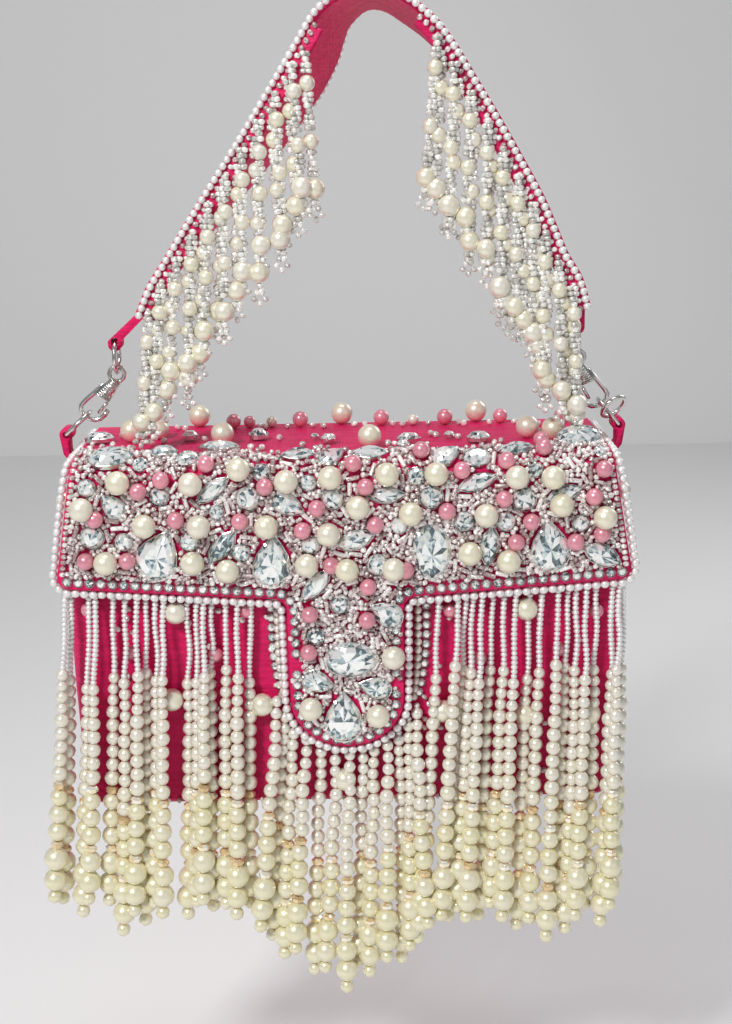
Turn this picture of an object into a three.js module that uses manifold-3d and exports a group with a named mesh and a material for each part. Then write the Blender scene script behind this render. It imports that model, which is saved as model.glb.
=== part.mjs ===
// Pearl handbag with a beaded strap: a fabric box body, a flap with a tongue,
// three beaded fringes under the flap, a short strap with two beaded fringes,
// and a spring hook with rings at each end of the strap.
// Millimetres. +X to the wearer's right of the front view, +Y to the back, +Z up.
// The origin lies on the inner face of the strap at its crown, where the hand holds it.

import * as THREE from 'three';
import { mergeVertices } from 'three/addons/utils/BufferGeometryUtils.js';
import Module from 'manifold-3d';

const wasm = await Module();
wasm.setup();

// Clearances and sides of round pieces
const gap = 0.3;
const fineGap = 0.35;
const wireSides = 6;
const tubeSides = 8;

// Body
const bodyWidth = 186;
const bodyDepth = 51.4;
const bodyHeight = 124;
const bodyWall = 2.5;
const bodyCornerRadius = 10;
const bodyBottomRound = 4;
const bodyCrown = 1.2;

// Strap
const strapDrop = 104;
const strapLeftSpan = 81;
const strapRightSpan = 71;
const strapWidth = 34;
const strapThickness = 3;
const strapStations = 28;

// How far the strap's crown hangs to the right of the bag's middle
const bagShift = 13;

// Flap and tongue
const flapThickness = 2.8;
const flapInset = 1;
const flapFlare = 4;
const flapFrontDrop = 44;
const flapBackDrop = 20;
const fringeRoom = 8.3;
const flapFrontRound = 8;
const flapBackRound = 3;
const flapCorner = 4;
const tongueWidth = 46;
const tongueTaper = 6;
const tongueDrop = 58.5;
const tongueRound = 17;
const tongueFillet = 4;

// Height of the flap's top face below the strap's crown
const flapTop = -146;

// Piping
const pipingRadius = 1.5;

// Fringe under the flap
const fringeDrop = 126;
const tongueFringeDrop = 94;
const fringeHead = 2.4;
const fringeHeadHeight = 7;
const fringePitch = 5.6;
const fringeStart = 37;
const fringeInset = 1.5;
const fringePearl = 5.6;
const fringeSway = 3;
const fringeSpread = 3;
const tongueFringeSpread = 7;

// Fringe on the strap
const strapStrandLength = 58;
const strapStrandRadius = 2.3;
const strapStrandPitch = 8.5;

// Beads and stones on the flap
const pearlRadius = 4;
const stoneLength = 18;
const stoneHeight = 3.6;

// Hardware
const hookWire = 0.85;
const ringWire = 0.8;
const strapRingRadius = 5.7;
const tabWall = 1.15;
const strapTabWidth = 7;
const dRingHalfWidth = 5.5;
const dRingLength = 11;
const dRingClear = 1.1;
const dRingRise = 3.2;
const hookLength = 21.5;
const bodyTabWidth = 8;
const spareRingRadius = 4.6;
const spareRingRise = 6.6;
const gateRadius = 0.6;
const gateDepth = 2.6;
const snapRadius = 7;

// Levels and planes worked out from the sizes
const flapFrontReach = bodyDepth / 2 + fringeRoom;
const flapTopWidth = bodyWidth - 2 * flapInset;
const flapLowWidth = flapTopWidth + 2 * flapFlare;
const bodyRim = flapTop - flapThickness - gap;
const bodyBottom = bodyRim - bodyHeight;
const bodyHalfDepth = bodyDepth / 2;
const flapLow = flapTop - flapFrontDrop;
const flapFront = -flapFrontReach;
const flapInner = flapFront + flapThickness;
const flapBack = bodyHalfDepth + gap + flapThickness;
const tongueLow = flapLow - tongueDrop;
const dRingBarX = flapTopWidth / 2 + 2 * pipingRadius + gap + dRingClear;
const dRingBarZ = flapTop + dRingRise;

// Materials
const silk = () => new THREE.MeshStandardMaterial({ color: 0xc81a68, roughness: 0.75, metalness: 0 });
const pearlWhite = () => new THREE.MeshStandardMaterial({ color: 0xf2ece4, roughness: 0.25, metalness: 0 });
const pearlCream = () => new THREE.MeshStandardMaterial({ color: 0xf1e7cf, roughness: 0.22, metalness: 0 });
const seedClear = () => new THREE.MeshStandardMaterial({ color: 0xd9d3cc, roughness: 0.2, metalness: 0.3 });
const crystal = () => new THREE.MeshStandardMaterial({ color: 0xdbe6ea, roughness: 0.05, metalness: 0.4 });
const nickel = () => new THREE.MeshStandardMaterial({ color: 0xc9c6c2, roughness: 0.22, metalness: 1 });

const group = new THREE.Group();
const bag = new THREE.Group();
bag.position.x = -bagShift;
group.add(bag);

function volumeOf(geometry) {
  const place = geometry.attributes.position;
  const index = geometry.index;
  const a = new THREE.Vector3();
  const b = new THREE.Vector3();
  const c = new THREE.Vector3();
  let total = 0;
  for (let i = 0; i < index.count; i += 3) {
    a.fromBufferAttribute(place, index.getX(i));
    b.fromBufferAttribute(place, index.getX(i + 1));
    c.fromBufferAttribute(place, index.getX(i + 2));
    total += a.dot(b.cross(c));
  }
  return total / 6;
}

// One closed body with shared corners and its faces pointing out
function closed(source) {
  const plain = new THREE.BufferGeometry();
  plain.setAttribute('position', source.attributes.position.clone());
  if (source.index) {
    plain.setIndex(source.index.clone());
  }
  const merged = mergeVertices(plain, 1e-4);
  const kept = [];
  for (let i = 0; i < merged.index.count; i += 3) {
    const corners = [0, 1, 2].map((k) => merged.index.getX(i + k));
    if (new Set(corners).size === 3) {
      kept.push(...corners);
    }
  }
  merged.setIndex(kept);
  if (volumeOf(merged) < 0) {
    for (let i = 0; i < kept.length; i += 3) {
      [kept[i], kept[i + 1]] = [kept[i + 1], kept[i]];
    }
    merged.setIndex(kept);
  }
  return merged;
}

function toManifold(geometry) {
  const body = closed(geometry);
  const mesh = new wasm.Mesh({
    numProp: 3,
    vertProperties: new Float32Array(body.attributes.position.array),
    triVerts: new Uint32Array(body.index.array),
  });
  return new wasm.Manifold(mesh);
}

function fromManifold(manifold) {
  const mesh = manifold.getMesh();
  const geometry = new THREE.BufferGeometry();
  geometry.setAttribute('position', new THREE.BufferAttribute(new Float32Array(mesh.vertProperties), 3));
  geometry.setIndex(Array.from(mesh.triVerts));
  return geometry;
}

function fuse(geometries) {
  return fromManifold(geometries.map(toManifold).reduce((whole, next) => whole.add(next)));
}

function cut(geometry, tools) {
  const whole = toManifold(geometry);
  return fromManifold(tools.map(toManifold).reduce((kept, tool) => kept.subtract(tool), whole));
}

function common(first, second) {
  return fromManifold(toManifold(first).intersect(toManifold(second)));
}

function addNode(name, geometry, material, parent = group) {
  const body = closed(geometry);
  body.computeVertexNormals();
  const mesh = new THREE.Mesh(body, material);
  mesh.name = name;
  parent.add(mesh);
}

function mirrored(geometry) {
  return geometry.clone().scale(-1, 1, 1);
}

// A shape drawn in X and Z, given its depth along Y
function alongY(shape, front, back) {
  const settings = { depth: back - front, bevelEnabled: false, curveSegments: 8 };
  const geometry = new THREE.ExtrudeGeometry(shape, settings);
  geometry.rotateX(Math.PI / 2);
  return geometry.translate(0, back, 0);
}

// A shape drawn in Y and Z, given its width along X
function alongX(shape, halfWidth) {
  const settings = { depth: 2 * halfWidth, bevelEnabled: false, curveSegments: 6 };
  const geometry = new THREE.ExtrudeGeometry(shape, settings);
  const turn = new THREE.Matrix4().set(0, 0, 1, -halfWidth, 1, 0, 0, 0, 0, 1, 0, 0, 0, 0, 0, 1);
  return geometry.applyMatrix4(turn);
}

// Rings of equal count joined one to the next, with flat ends
function loft(rings) {
  const count = rings[0].length;
  const places = rings.flat().flatMap((p) => [p.x, p.y, p.z]);
  const faces = [];
  for (let i = 0; i + 1 < rings.length; i += 1) {
    for (let k = 0; k < count; k += 1) {
      const a = i * count + k;
      const b = i * count + ((k + 1) % count);
      faces.push(a, b, b + count, a, b + count, a + count);
    }
  }
  const last = (rings.length - 1) * count;
  for (let k = 1; k + 1 < count; k += 1) {
    faces.push(0, k + 1, k);
    faces.push(last, last + k, last + k + 1);
  }
  const geometry = new THREE.BufferGeometry();
  geometry.setAttribute('position', new THREE.Float32BufferAttribute(places, 3));
  geometry.setIndex(faces);
  return geometry;
}

// A route that passes through its listed points, one step to a point
class Route extends THREE.Curve {
  constructor(points) {
    super();
    this.points = points;
  }

  getPoint(t) {
    const place = Math.min(Math.max(t, 0), 1) * (this.points.length - 1);
    const before = Math.min(Math.floor(place), this.points.length - 2);
    return this.points[before].clone().lerp(this.points[before + 1], place - before);
  }

  getPointAt(u) {
    return this.getPoint(u);
  }

  getTangentAt(u) {
    return this.getTangent(u);
  }
}

function roundOutline(radius, sides) {
  const corners = [];
  for (let k = 0; k < sides; k += 1) {
    const turn = (2 * Math.PI * (k + 0.5)) / sides;
    corners.push(new THREE.Vector2(radius * Math.cos(turn), radius * Math.sin(turn)));
  }
  return new THREE.Shape(corners);
}

function wire(points, radius, sides) {
  const settings = { steps: points.length - 1, bevelEnabled: false, extrudePath: new Route(points) };
  return new THREE.ExtrudeGeometry(roundOutline(radius, sides), settings);
}

function wireLoop(points, radius, sides) {
  const route = new Route([...points, points[0].clone()]);
  return new THREE.TubeGeometry(route, points.length, radius, sides, true);
}

// Body: a rounded box with a crowned front, hollow and open at the top
function bodyOutline(inset) {
  const x = bodyWidth / 2 - inset;
  const y = bodyHalfDepth - inset;
  const r = bodyCornerRadius - inset;
  const outline = new THREE.Shape();
  outline.moveTo(-x + r, -y);
  outline.quadraticCurveTo(0, -y - 2 * bodyCrown, x - r, -y);
  outline.absarc(x - r, -y + r, r, -Math.PI / 2, 0, false);
  outline.absarc(x - r, y - r, r, 0, Math.PI / 2, false);
  outline.absarc(-x + r, y - r, r, Math.PI / 2, Math.PI, false);
  outline.absarc(-x + r, -y + r, r, Math.PI, 1.5 * Math.PI, false);
  return outline;
}

function bodyBlock(inset, low, high, round) {
  const settings = {
    depth: high - low - round,
    bevelThickness: round,
    bevelSize: round,
    bevelOffset: -round,
    bevelSegments: 2,
    curveSegments: 6,
  };
  return new THREE.ExtrudeGeometry(bodyOutline(inset), settings).translate(0, 0, low + round);
}

function bodyShell() {
  const above = 30;
  const outer = bodyBlock(0, bodyBottom, bodyRim + above, bodyBottomRound);
  const inner = bodyBlock(bodyWall, bodyBottom + bodyWall, bodyRim + 2 * above, bodyBottomRound - 1);
  const lid = new THREE.BoxGeometry(2 * bodyWidth, 2 * bodyDepth, 2 * above);
  lid.translate(0, 0, bodyRim + above);
  return cut(outer, [inner, lid]);
}

// Flap: one bent sheet, trimmed to the outline with the tongue
function flapProfile() {
  const backLow = flapTop - flapBackDrop;
  const front = flapFront + flapFrontRound;
  const profile = new THREE.Shape();
  profile.moveTo(flapBack, backLow);
  profile.lineTo(flapBack, flapTop - flapBackRound);
  profile.absarc(flapBack - flapBackRound, flapTop - flapBackRound, flapBackRound, 0, Math.PI / 2, false);
  profile.lineTo(front, flapTop);
  profile.absarc(front, flapTop - flapFrontRound, flapFrontRound, Math.PI / 2, Math.PI, false);
  profile.lineTo(flapFront, tongueLow - 1);
  profile.lineTo(flapInner, tongueLow - 1);
  const innerRound = flapFrontRound - flapThickness;
  profile.lineTo(flapInner, flapTop - flapFrontRound);
  profile.absarc(front, flapTop - flapFrontRound, innerRound, Math.PI, Math.PI / 2, true);
  const innerBack = flapBackRound - flapThickness;
  profile.lineTo(flapBack - flapBackRound, flapTop - flapThickness);
  profile.absarc(flapBack - flapBackRound, flapTop - flapBackRound, innerBack, Math.PI / 2, 0, true);
  profile.lineTo(flapBack - flapThickness, backLow);
  profile.closePath();
  return profile;
}

// Half of the flap's lower outline, from the top at the side to the tongue's lowest
// point, moved out by offset. Each point is (across, height).
function flapSide(offset) {
  const points = [];
  const side = (z) => {
    const share = (flapTop - z) / flapFrontDrop;
    return (flapTopWidth + (flapLowWidth - flapTopWidth) * share) / 2 + offset;
  };
  const arc = (cx, cz, rx, rz, from, to, steps) => {
    for (let k = 0; k <= steps; k += 1) {
      const turn = THREE.MathUtils.degToRad(from + ((to - from) * k) / steps);
      points.push(new THREE.Vector2(cx + rx * Math.cos(turn), cz + rz * Math.sin(turn)));
    }
  };
  const low = flapLow - offset;
  const cornerRound = flapCorner + offset;
  for (let k = 0; k < 4; k += 1) {
    const z = flapTop - flapFrontRound - ((flapFrontDrop - flapFrontRound - flapCorner) * k) / 4;
    points.push(new THREE.Vector2(side(z), z));
  }
  arc(side(flapLow) - cornerRound, low + cornerRound, cornerRound, cornerRound, 0, -90, 4);
  const filletRound = tongueFillet - offset;
  const neck = tongueWidth / 2 + offset;
  const waist = (tongueWidth - tongueTaper) / 2 + offset;
  const span = side(flapLow) - cornerRound - neck - filletRound;
  const bays = Math.max(1, Math.round(span / 12));
  for (let k = 1; k < bays; k += 1) {
    points.push(new THREE.Vector2(side(flapLow) - cornerRound - (span * k) / bays, low));
  }
  arc(neck + filletRound, low - filletRound, filletRound, filletRound, 90, 180, 4);
  const bowlTop = tongueLow + tongueRound;
  const bowlDepth = tongueRound + offset;
  for (let k = 1; k < 4; k += 1) {
    const z = low - filletRound + ((bowlTop - low + filletRound) * k) / 4;
    points.push(new THREE.Vector2(neck + ((waist - neck) * k) / 4, z));
  }
  arc(0, bowlTop, waist, bowlDepth, 0, -90, 8);
  return points;
}

function flapSheet() {
  const sheet = alongX(flapProfile(), flapLowWidth);
  const half = flapSide(0);
  const outline = [new THREE.Vector2(flapTopWidth / 2, flapTop + 5), ...half];
  const left = outline.slice(0, -1).reverse().map((p) => new THREE.Vector2(-p.x, p.y));
  const prism = alongY(new THREE.Shape([...outline, ...left]), -2 * flapFrontReach, 2 * flapFrontReach);
  return common(sheet, prism);
}

// Piping round the flap: over the side edges from the back, then round the outline
function flapPiping() {
  const offset = pipingRadius + gap;
  const middle = flapFront + flapThickness / 2;
  const topLevel = flapTop - flapThickness / 2;
  const x = flapTopWidth / 2 + offset;
  const backLevel = flapBack - flapThickness / 2;
  const side = [];
  const frontRound = flapFrontRound - flapThickness / 2;
  const backRound = flapBackRound - flapThickness / 2;
  for (let k = 0; k <= 2; k += 1) {
    const z = flapTop - flapBackDrop + ((flapBackDrop - flapBackRound) * k) / 2;
    side.push(new THREE.Vector3(x + ((flapTop - z) / flapFrontDrop) * flapFlare, backLevel, z));
  }
  for (let k = 1; k <= 3; k += 1) {
    const turn = (Math.PI / 2) * (k / 3);
    const y = flapBack - flapBackRound + backRound * Math.cos(turn);
    side.push(new THREE.Vector3(x + 0.2, y, flapTop - flapBackRound + backRound * Math.sin(turn)));
  }
  const run = flapBack - flapBackRound + flapFrontReach - flapFrontRound;
  for (let k = 1; k <= 6; k += 1) {
    side.push(new THREE.Vector3(x, flapBack - flapBackRound - (run * k) / 7, topLevel));
  }
  for (let k = 0; k <= 3; k += 1) {
    const turn = (Math.PI / 2) * (1 + k / 4);
    const y = flapFront + flapFrontRound + frontRound * Math.cos(turn);
    side.push(new THREE.Vector3(x + 0.15 * k, y, flapTop - flapFrontRound + frontRound * Math.sin(turn)));
  }
  const front = flapSide(offset).map((p) => new THREE.Vector3(p.x, middle, p.y));
  const half = [...side, ...front];
  const other = half.slice(0, -1).reverse().map((p) => new THREE.Vector3(-p.x, p.y, p.z));
  return wire([...half, ...other], pipingRadius, tubeSides);
}

// Strap: stations along the front edge of its outer face. Columns: drop as a share of
// strapDrop, left and right as shares of the two spans, and how far the back edge lies
// inside the front edge on each branch, as a share of strapWidth.
const strapTable = [
  { drop: 0, left: 0, right: 0, leanLeft: 0.1, leanRight: 0.1 },
  { drop: 0.03, left: 0.154, right: 0.135, leanLeft: 0.22, leanRight: 0.1 },
  { drop: 0.083, left: 0.24, right: 0.246, leanLeft: 0.3, leanRight: 0.1 },
  { drop: 0.148, left: 0.294, right: 0.337, leanLeft: 0.34, leanRight: 0.06 },
  { drop: 0.243, left: 0.372, right: 0.427, leanLeft: 0.36, leanRight: 0.02 },
  { drop: 0.45, left: 0.546, right: 0.61, leanLeft: 0.3, leanRight: -0.04 },
  { drop: 0.68, left: 0.75, right: 0.796, leanLeft: 0.18, leanRight: -0.06 },
  { drop: 0.83, left: 0.877, right: 0.89, leanLeft: 0.1, leanRight: -0.04 },
  { drop: 0.91, left: 0.947, right: 0.96, leanLeft: 0.05, leanRight: -0.02 },
  { drop: 1, left: 1, right: 1, leanLeft: 0, leanRight: 0 },
];

const strapCrown = strapThickness + (strapTable[0].leanLeft * strapWidth) / 2;

function strapPlace(x, row) {
  return new THREE.Vector3(x, 0, strapCrown - row.drop * strapDrop);
}

const strapRows = [
  ...strapTable.slice(1).reverse().map((row) => (
    { place: strapPlace(-row.left * strapLeftSpan, row), lean: row.leanLeft }
  )),
  ...strapTable.map((row) => (
    { place: strapPlace(row.right * strapRightSpan, row), lean: row.leanRight }
  )),
];
const strapRoute = new THREE.CatmullRomCurve3(strapRows.map((row) => row.place), false, 'centripetal');
const leanRoute = new THREE.CatmullRomCurve3(
  strapRows.map((row) => new THREE.Vector3(row.lean, 0, 0)), false, 'catmullrom', 0.5,
);

// A place on the strap: share is the way along it, across is measured from the front
// edge to the back, and depth goes in from the outer face.
function onStrap(share, across, depth) {
  const t = strapRoute.getUtoTmapping(share);
  const place = strapRoute.getPoint(t);
  const heading = strapRoute.getTangent(t);
  const outward = new THREE.Vector3(-heading.z, 0, heading.x);
  const lean = leanRoute.getPoint(t).x * across;
  place.addScaledVector(outward, -depth - lean);
  place.y = across - strapWidth / 2;
  return place;
}

function strapRibbon(from, to, steps, across, depth) {
  const rings = [];
  for (let k = 0; k <= steps; k += 1) {
    const share = from + ((to - from) * k) / steps;
    rings.push([
      onStrap(share, across[0], depth[0]),
      onStrap(share, across[1], depth[0]),
      onStrap(share, across[1], depth[1]),
      onStrap(share, across[0], depth[1]),
    ]);
  }
  return loft(rings);
}

function strapPiping(across) {
  const points = [];
  for (let k = 0; k <= strapStations; k += 1) {
    points.push(onStrap(k / strapStations, across, strapThickness / 2));
  }
  return wire(points, pipingRadius, tubeSides);
}

// A hanging strand as a closed strip. Each station is { z, w, d, x, y }: its height, its
// width and depth, and how far its middle lies aside and in front.
function strand(x, y, stations) {
  const rings = stations.map((row) => {
    const ring = [];
    for (let k = 0; k < 6; k += 1) {
      const turn = (Math.PI * (k + 0.5)) / 3;
      const px = x + (row.x || 0) + (row.w / 2) * Math.cos(turn);
      const py = y + (row.y || 0) + (row.d / 2) * Math.sin(turn);
      ring.push(new THREE.Vector3(px, py, row.z));
    }
    return ring;
  });
  return loft(rings);
}

// Strap fringe: a head sewn under the strap's inner face by the front edge, with
// strands hanging straight down from it
function strapFringe(side) {
  const [from, to] = side < 0 ? [0.02, 0.4] : [0.6, 0.98];
  const headFront = 2;
  const headBack = 6;
  const headDepth = [strapThickness + fineGap, strapThickness + fineGap + 2];
  const head = strapRibbon(from, to, 12, [headFront, headBack], headDepth);
  const run = (to - from) * strapRoute.getLength();
  const count = Math.round(run / strapStrandPitch);
  const pieces = [head];
  for (let k = 0; k < count; k += 1) {
    const share = from + ((to - from) * (k + 0.5)) / count;
    const top = onStrap(share, (headFront + headBack) / 2, strapThickness + fineGap + 1);
    const low = Math.max(top.z - strapStrandLength, flapTop + 3);
    const full = 2 * strapStrandRadius;
    const stations = [
      { z: top.z, w: 0.9, d: 2.4 },
      { z: top.z - 7, w: full * 0.8, d: full },
      { z: top.z - 0.6 * (top.z - low), w: full, d: full * 1.2 },
      { z: low + 4, w: full * 1.2, d: full * 1.3 },
      { z: low, w: 1.6, d: 1.6 },
    ];
    pieces.push(strand(top.x, top.y, stations));
  }
  return fuse(pieces);
}

// Fringe strands under the flap, as shares of the drop: narrow seeds at the top, then
// pearls that grow to the end. Columns: drop, then width and depth as shares of fringePearl.
const strandTable = [
  { drop: 0, width: 0.393, depth: 0.393 },
  { drop: 0.28, width: 0.446, depth: 0.429 },
  { drop: 0.34, width: 0.714, depth: 0.679 },
  { drop: 0.66, width: 0.911, depth: 0.893 },
  { drop: 0.9, width: 1, depth: 1.286 },
  { drop: 1, width: 0.536, depth: 0.464 },
];

// The strand's end hangs aside by shift.
function fringeStrand(x, y, top, low, shift) {
  const stations = strandTable.map((row) => {
    const forward = (-Math.max(0, row.depth - strandTable[0].depth) * fringePearl) / 4;
    const z = top + (low - top) * row.drop;
    return { z, w: row.width * fringePearl, d: row.depth * fringePearl, x: shift * row.drop, y: forward };
  });
  return strand(x, y, stations);
}

const headFront = flapInner + gap;
const headBack = headFront + fringeHead;
const headMiddle = (headFront + headBack) / 2;

function sideFringe(side) {
  const to = flapLowWidth / 2 - fringeInset;
  const top = flapLow + fringeHeadHeight + 1;
  const outline = new THREE.Shape();
  outline.moveTo(side * fringeStart, top - fringeHeadHeight);
  outline.lineTo(side * to, top - fringeHeadHeight);
  outline.lineTo(side * (to - 0.5), top);
  outline.lineTo(side * fringeStart, top);
  outline.closePath();
  const pieces = [alongY(outline, headFront, headBack)];
  const count = Math.floor((to - fringeStart) / fringePitch);
  for (let k = 0; k < count; k += 1) {
    const share = (k + 0.5) / count;
    const x = fringeStart + (to - fringeStart) * share;
    const low = flapLow - fringeDrop * (1 - 0.024 * Math.cos(1.7 * k));
    const shift = side * fringeSpread * share - fringeSway;
    pieces.push(fringeStrand(side * x, headMiddle, top - 2, low, shift));
  }
  return fuse(pieces);
}

// The head behind the tongue follows its lower curve
function tongueFringe() {
  const halfHead = (tongueWidth - tongueTaper) / 2 - 1;
  const bowlTop = tongueLow + tongueRound;
  const bowl = tongueRound - 1;
  const band = 7;
  const outline = new THREE.Shape();
  outline.moveTo(-halfHead, bowlTop + 6);
  outline.lineTo(-halfHead, bowlTop);
  outline.absellipse(0, bowlTop, halfHead, bowl, Math.PI, 2 * Math.PI, false, 0);
  outline.lineTo(halfHead, bowlTop + 6);
  outline.lineTo(halfHead - band, bowlTop + 6);
  outline.absellipse(0, bowlTop, halfHead - band, bowl - band, 2 * Math.PI, Math.PI, true, 0);
  outline.lineTo(-halfHead + band, bowlTop + 6);
  outline.closePath();
  const pieces = [alongY(outline, headFront, headBack)];
  const count = Math.floor((2 * halfHead) / fringePitch) + 1;
  for (let k = 0; k < count; k += 1) {
    const x = halfHead * (-0.92 + (1.84 * k) / (count - 1));
    const top = bowlTop + 3 - bowl * Math.sqrt(1 - (x / halfHead) ** 2);
    const low = tongueLow - tongueFringeDrop * (1 - 0.16 * (x / halfHead) ** 2);
    const shift = (tongueFringeSpread * x) / halfHead - fringeSway;
    pieces.push(fringeStrand(x, headMiddle, top, low, shift));
  }
  return fuse(pieces);
}

// Cut stones: a flat back, a girdle and a table
const stoneSides = 12;

function stoneOutline(cutName, width, length, scale) {
  const points = [];
  for (let k = 0; k < stoneSides; k += 1) {
    const turn = (2 * Math.PI * k) / stoneSides;
    const rise = Math.sin(turn);
    let across = Math.cos(turn);
    let along = rise / 2;
    if (cutName === 'pear') {
      along = rise < 0 ? 0.4 * rise : 0.6 * rise;
      across = rise < 0 ? across : Math.sign(across) * (1 - rise ** 1.6);
      along -= 0.1;
    }
    if (cutName === 'navette') {
      across = Math.sign(across) * (1 - rise * rise);
    }
    if (Math.abs(Math.cos(turn)) < 1e-9) {
      across = 0;
    }
    points.push(new THREE.Vector2((scale * across * width) / 2, scale * along * length));
  }
  return points;
}

function cutStone(row) {
  const levels = [
    { rise: 0, scale: 0.86 },
    { rise: 0.4, scale: 1 },
    { rise: 1, scale: 0.6 },
  ];
  const width = row.width * stoneLength;
  const length = row.length * stoneLength;
  const rings = levels.map((level) => stoneOutline(row.cut, width, length, level.scale)
    .map((p) => new THREE.Vector3(p.x, -level.rise * stoneHeight, p.y)));
  const stone = loft(rings);
  stone.rotateY(THREE.MathUtils.degToRad(row.turn));
  stone.translate(0, -gap, 0);
  stone.rotateX(-THREE.MathUtils.degToRad(row.tip || 0));
  return stone;
}

// Places on the flap's outer face: across from the middle as a share of half the flap's
// low width, down from its top face as a share of flapFrontDrop, width and length as
// shares of stoneLength. turn is clockwise in the front view, tip leans the stone back on
// the shoulder, and reach is how far back on the top it lies, as a share of flapFrontReach.
const stoneTable = [
  { name: 'pear_left', cut: 'pear', across: -0.646, down: 0.727, width: 0.778, length: 1, turn: 25 },
  { name: 'pear_mid_left', cut: 'pear', across: -0.25, down: 0.795, width: 0.706, length: 1.017, turn: 5 },
  { name: 'oval_mid_right', cut: 'oval', across: 0.307, down: 0.743, width: 0.706, length: 1.056, turn: 0 },
  { name: 'pear_right', cut: 'pear', across: 0.719, down: 0.714, width: 0.739, length: 0.983, turn: -5 },
  { name: 'navette_right', cut: 'navette', across: 0.901, down: 0.795, width: 0.428, length: 0.778, turn: 115 },
  { name: 'oval_tongue', cut: 'oval', across: 0.018, down: 1.598, width: 0.683, length: 0.983, turn: 90 },
  { name: 'pear_tongue', cut: 'pear', across: -0.014, down: 2.068, width: 0.722, length: 1, turn: 0 },
  { name: 'small_tongue_left', cut: 'pear', across: -0.099, down: 1.777, width: 0.444, length: 0.639, turn: 108 },
  { name: 'small_tongue_right', cut: 'pear', across: 0.099, down: 1.83, width: 0.444, length: 0.639, turn: -75 },
  { name: 'oval_top_right', cut: 'oval', across: 0.833, down: 0, width: 0.583, length: 0.833, turn: 85, tip: 90, reach: 0.368 },
  { name: 'oval_top_left', cut: 'oval', across: -0.802, down: 0, width: 0.5, length: 0.817, turn: 80, tip: 62 },
];

function placeStone(row) {
  const stone = cutStone(row);
  const x = (row.across * flapLowWidth) / 2;
  if (!row.tip) {
    return stone.translate(x, flapFront, flapTop - row.down * flapFrontDrop);
  }
  if (row.tip === 90) {
    return stone.translate(x, flapFront + row.reach * flapFrontReach, flapTop);
  }
  const lean = THREE.MathUtils.degToRad(row.tip);
  const y = flapFront + flapFrontRound - flapFrontRound * Math.cos(lean);
  return stone.translate(x, y, flapTop - flapFrontRound + flapFrontRound * Math.sin(lean));
}

// Main pearls on the flap's flat front, placed as the stones are
const pearlTable = [
  { across: -0.901, down: 0.352 },
  { across: -0.688, down: 0.489 },
  { across: -0.5, down: 0.5 },
  { across: -0.266, down: 0.511 },
  { across: -0.052, down: 0.58 },
  { across: 0.052, down: 0.375 },
  { across: 0.234, down: 0.432 },
  { across: 0.495, down: 0.455 },
  { across: 0.755, down: 0.386 },
  { across: 0.906, down: 0.489 },
  { across: -0.828, down: 0.773 },
  { across: -0.526, down: 0.784 },
  { across: -0.406, down: 0.852 },
  { across: -0.13, down: 0.818 },
  { across: 0.01, down: 0.864 },
  { across: 0.172, down: 0.864 },
  { across: 0.438, down: 0.75 },
  { across: 0.573, down: 0.818 },
  { across: 0.167, down: 1.568 },
  { across: -0.13, down: 1.977 },
  { across: 0.109, down: 2.045 },
];

function pearl(row) {
  const ball = new THREE.SphereGeometry(pearlRadius, 10, 6);
  ball.rotateX(Math.PI / 2);
  const x = (row.across * flapLowWidth) / 2;
  return ball.translate(x, flapFront - gap - pearlRadius, flapTop - row.down * flapFrontDrop);
}

// Each side's chain of D-ring, hook and strap ring, worked up from the D-ring's bar.
// The left side is built as a right one and mirrored. lean and ringLean are in degrees.
function chain(sign, lean, ringLean) {
  const hookTurn = THREE.MathUtils.degToRad(lean);
  const ringTurn = THREE.MathUtils.degToRad(ringLean);
  const bar = new THREE.Vector3(dRingBarX - sign * bagShift, 0, dRingBarZ);
  const rise = new THREE.Vector3(-Math.sin(ringTurn), 0, Math.cos(ringTurn));
  const down = new THREE.Vector3(Math.sin(hookTurn), 0, -Math.cos(hookTurn));
  const inward = new THREE.Vector3(-Math.cos(hookTurn), 0, -Math.sin(hookTurn));
  const seat = hookLength - hookWire - fineGap - ringWire - 0.3;
  const top = bar.clone().addScaledVector(rise, dRingLength);
  top.addScaledVector(down, -seat).addScaledVector(inward, -hookMiddle);
  return { sign, bar, rise, down, inward, top };
}

// A place on the hook: u runs down from the top of its eye, v to the bag's middle
function onHook(side, u, v) {
  return side.top.clone().addScaledVector(side.down, u).addScaledVector(side.inward, v);
}

const hookMiddle = 0.4;
const barrel = { top: 4.8, low: 12.4, inTop: 0.9, inLow: -1.4, out: 4.3, halfDepth: 1.4 };
const eye = { u: 2.6, v: 1.8, long: 2.7, wide: 2.6 };
const gatePivot = { u: 13.4, v: 3.9 };
const gateEnd = { u: 17.3, v: 3.3 };

// The hook's wire from the barrel down the outer side, round the bend and up to its tip
const hookBend = [
  [8, -0.2],
  [12.4, -1.6],
  [16.4, -2.9],
  [18.8, -3.3],
  [hookLength - 1, -2.4],
  [hookLength - 0.1, -0.6],
  [hookLength, 1.4],
  [hookLength - 0.6, 3.2],
  [19.4, 4.7],
  [17.4, 5.4],
  [15.2, 5.5],
];

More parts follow.
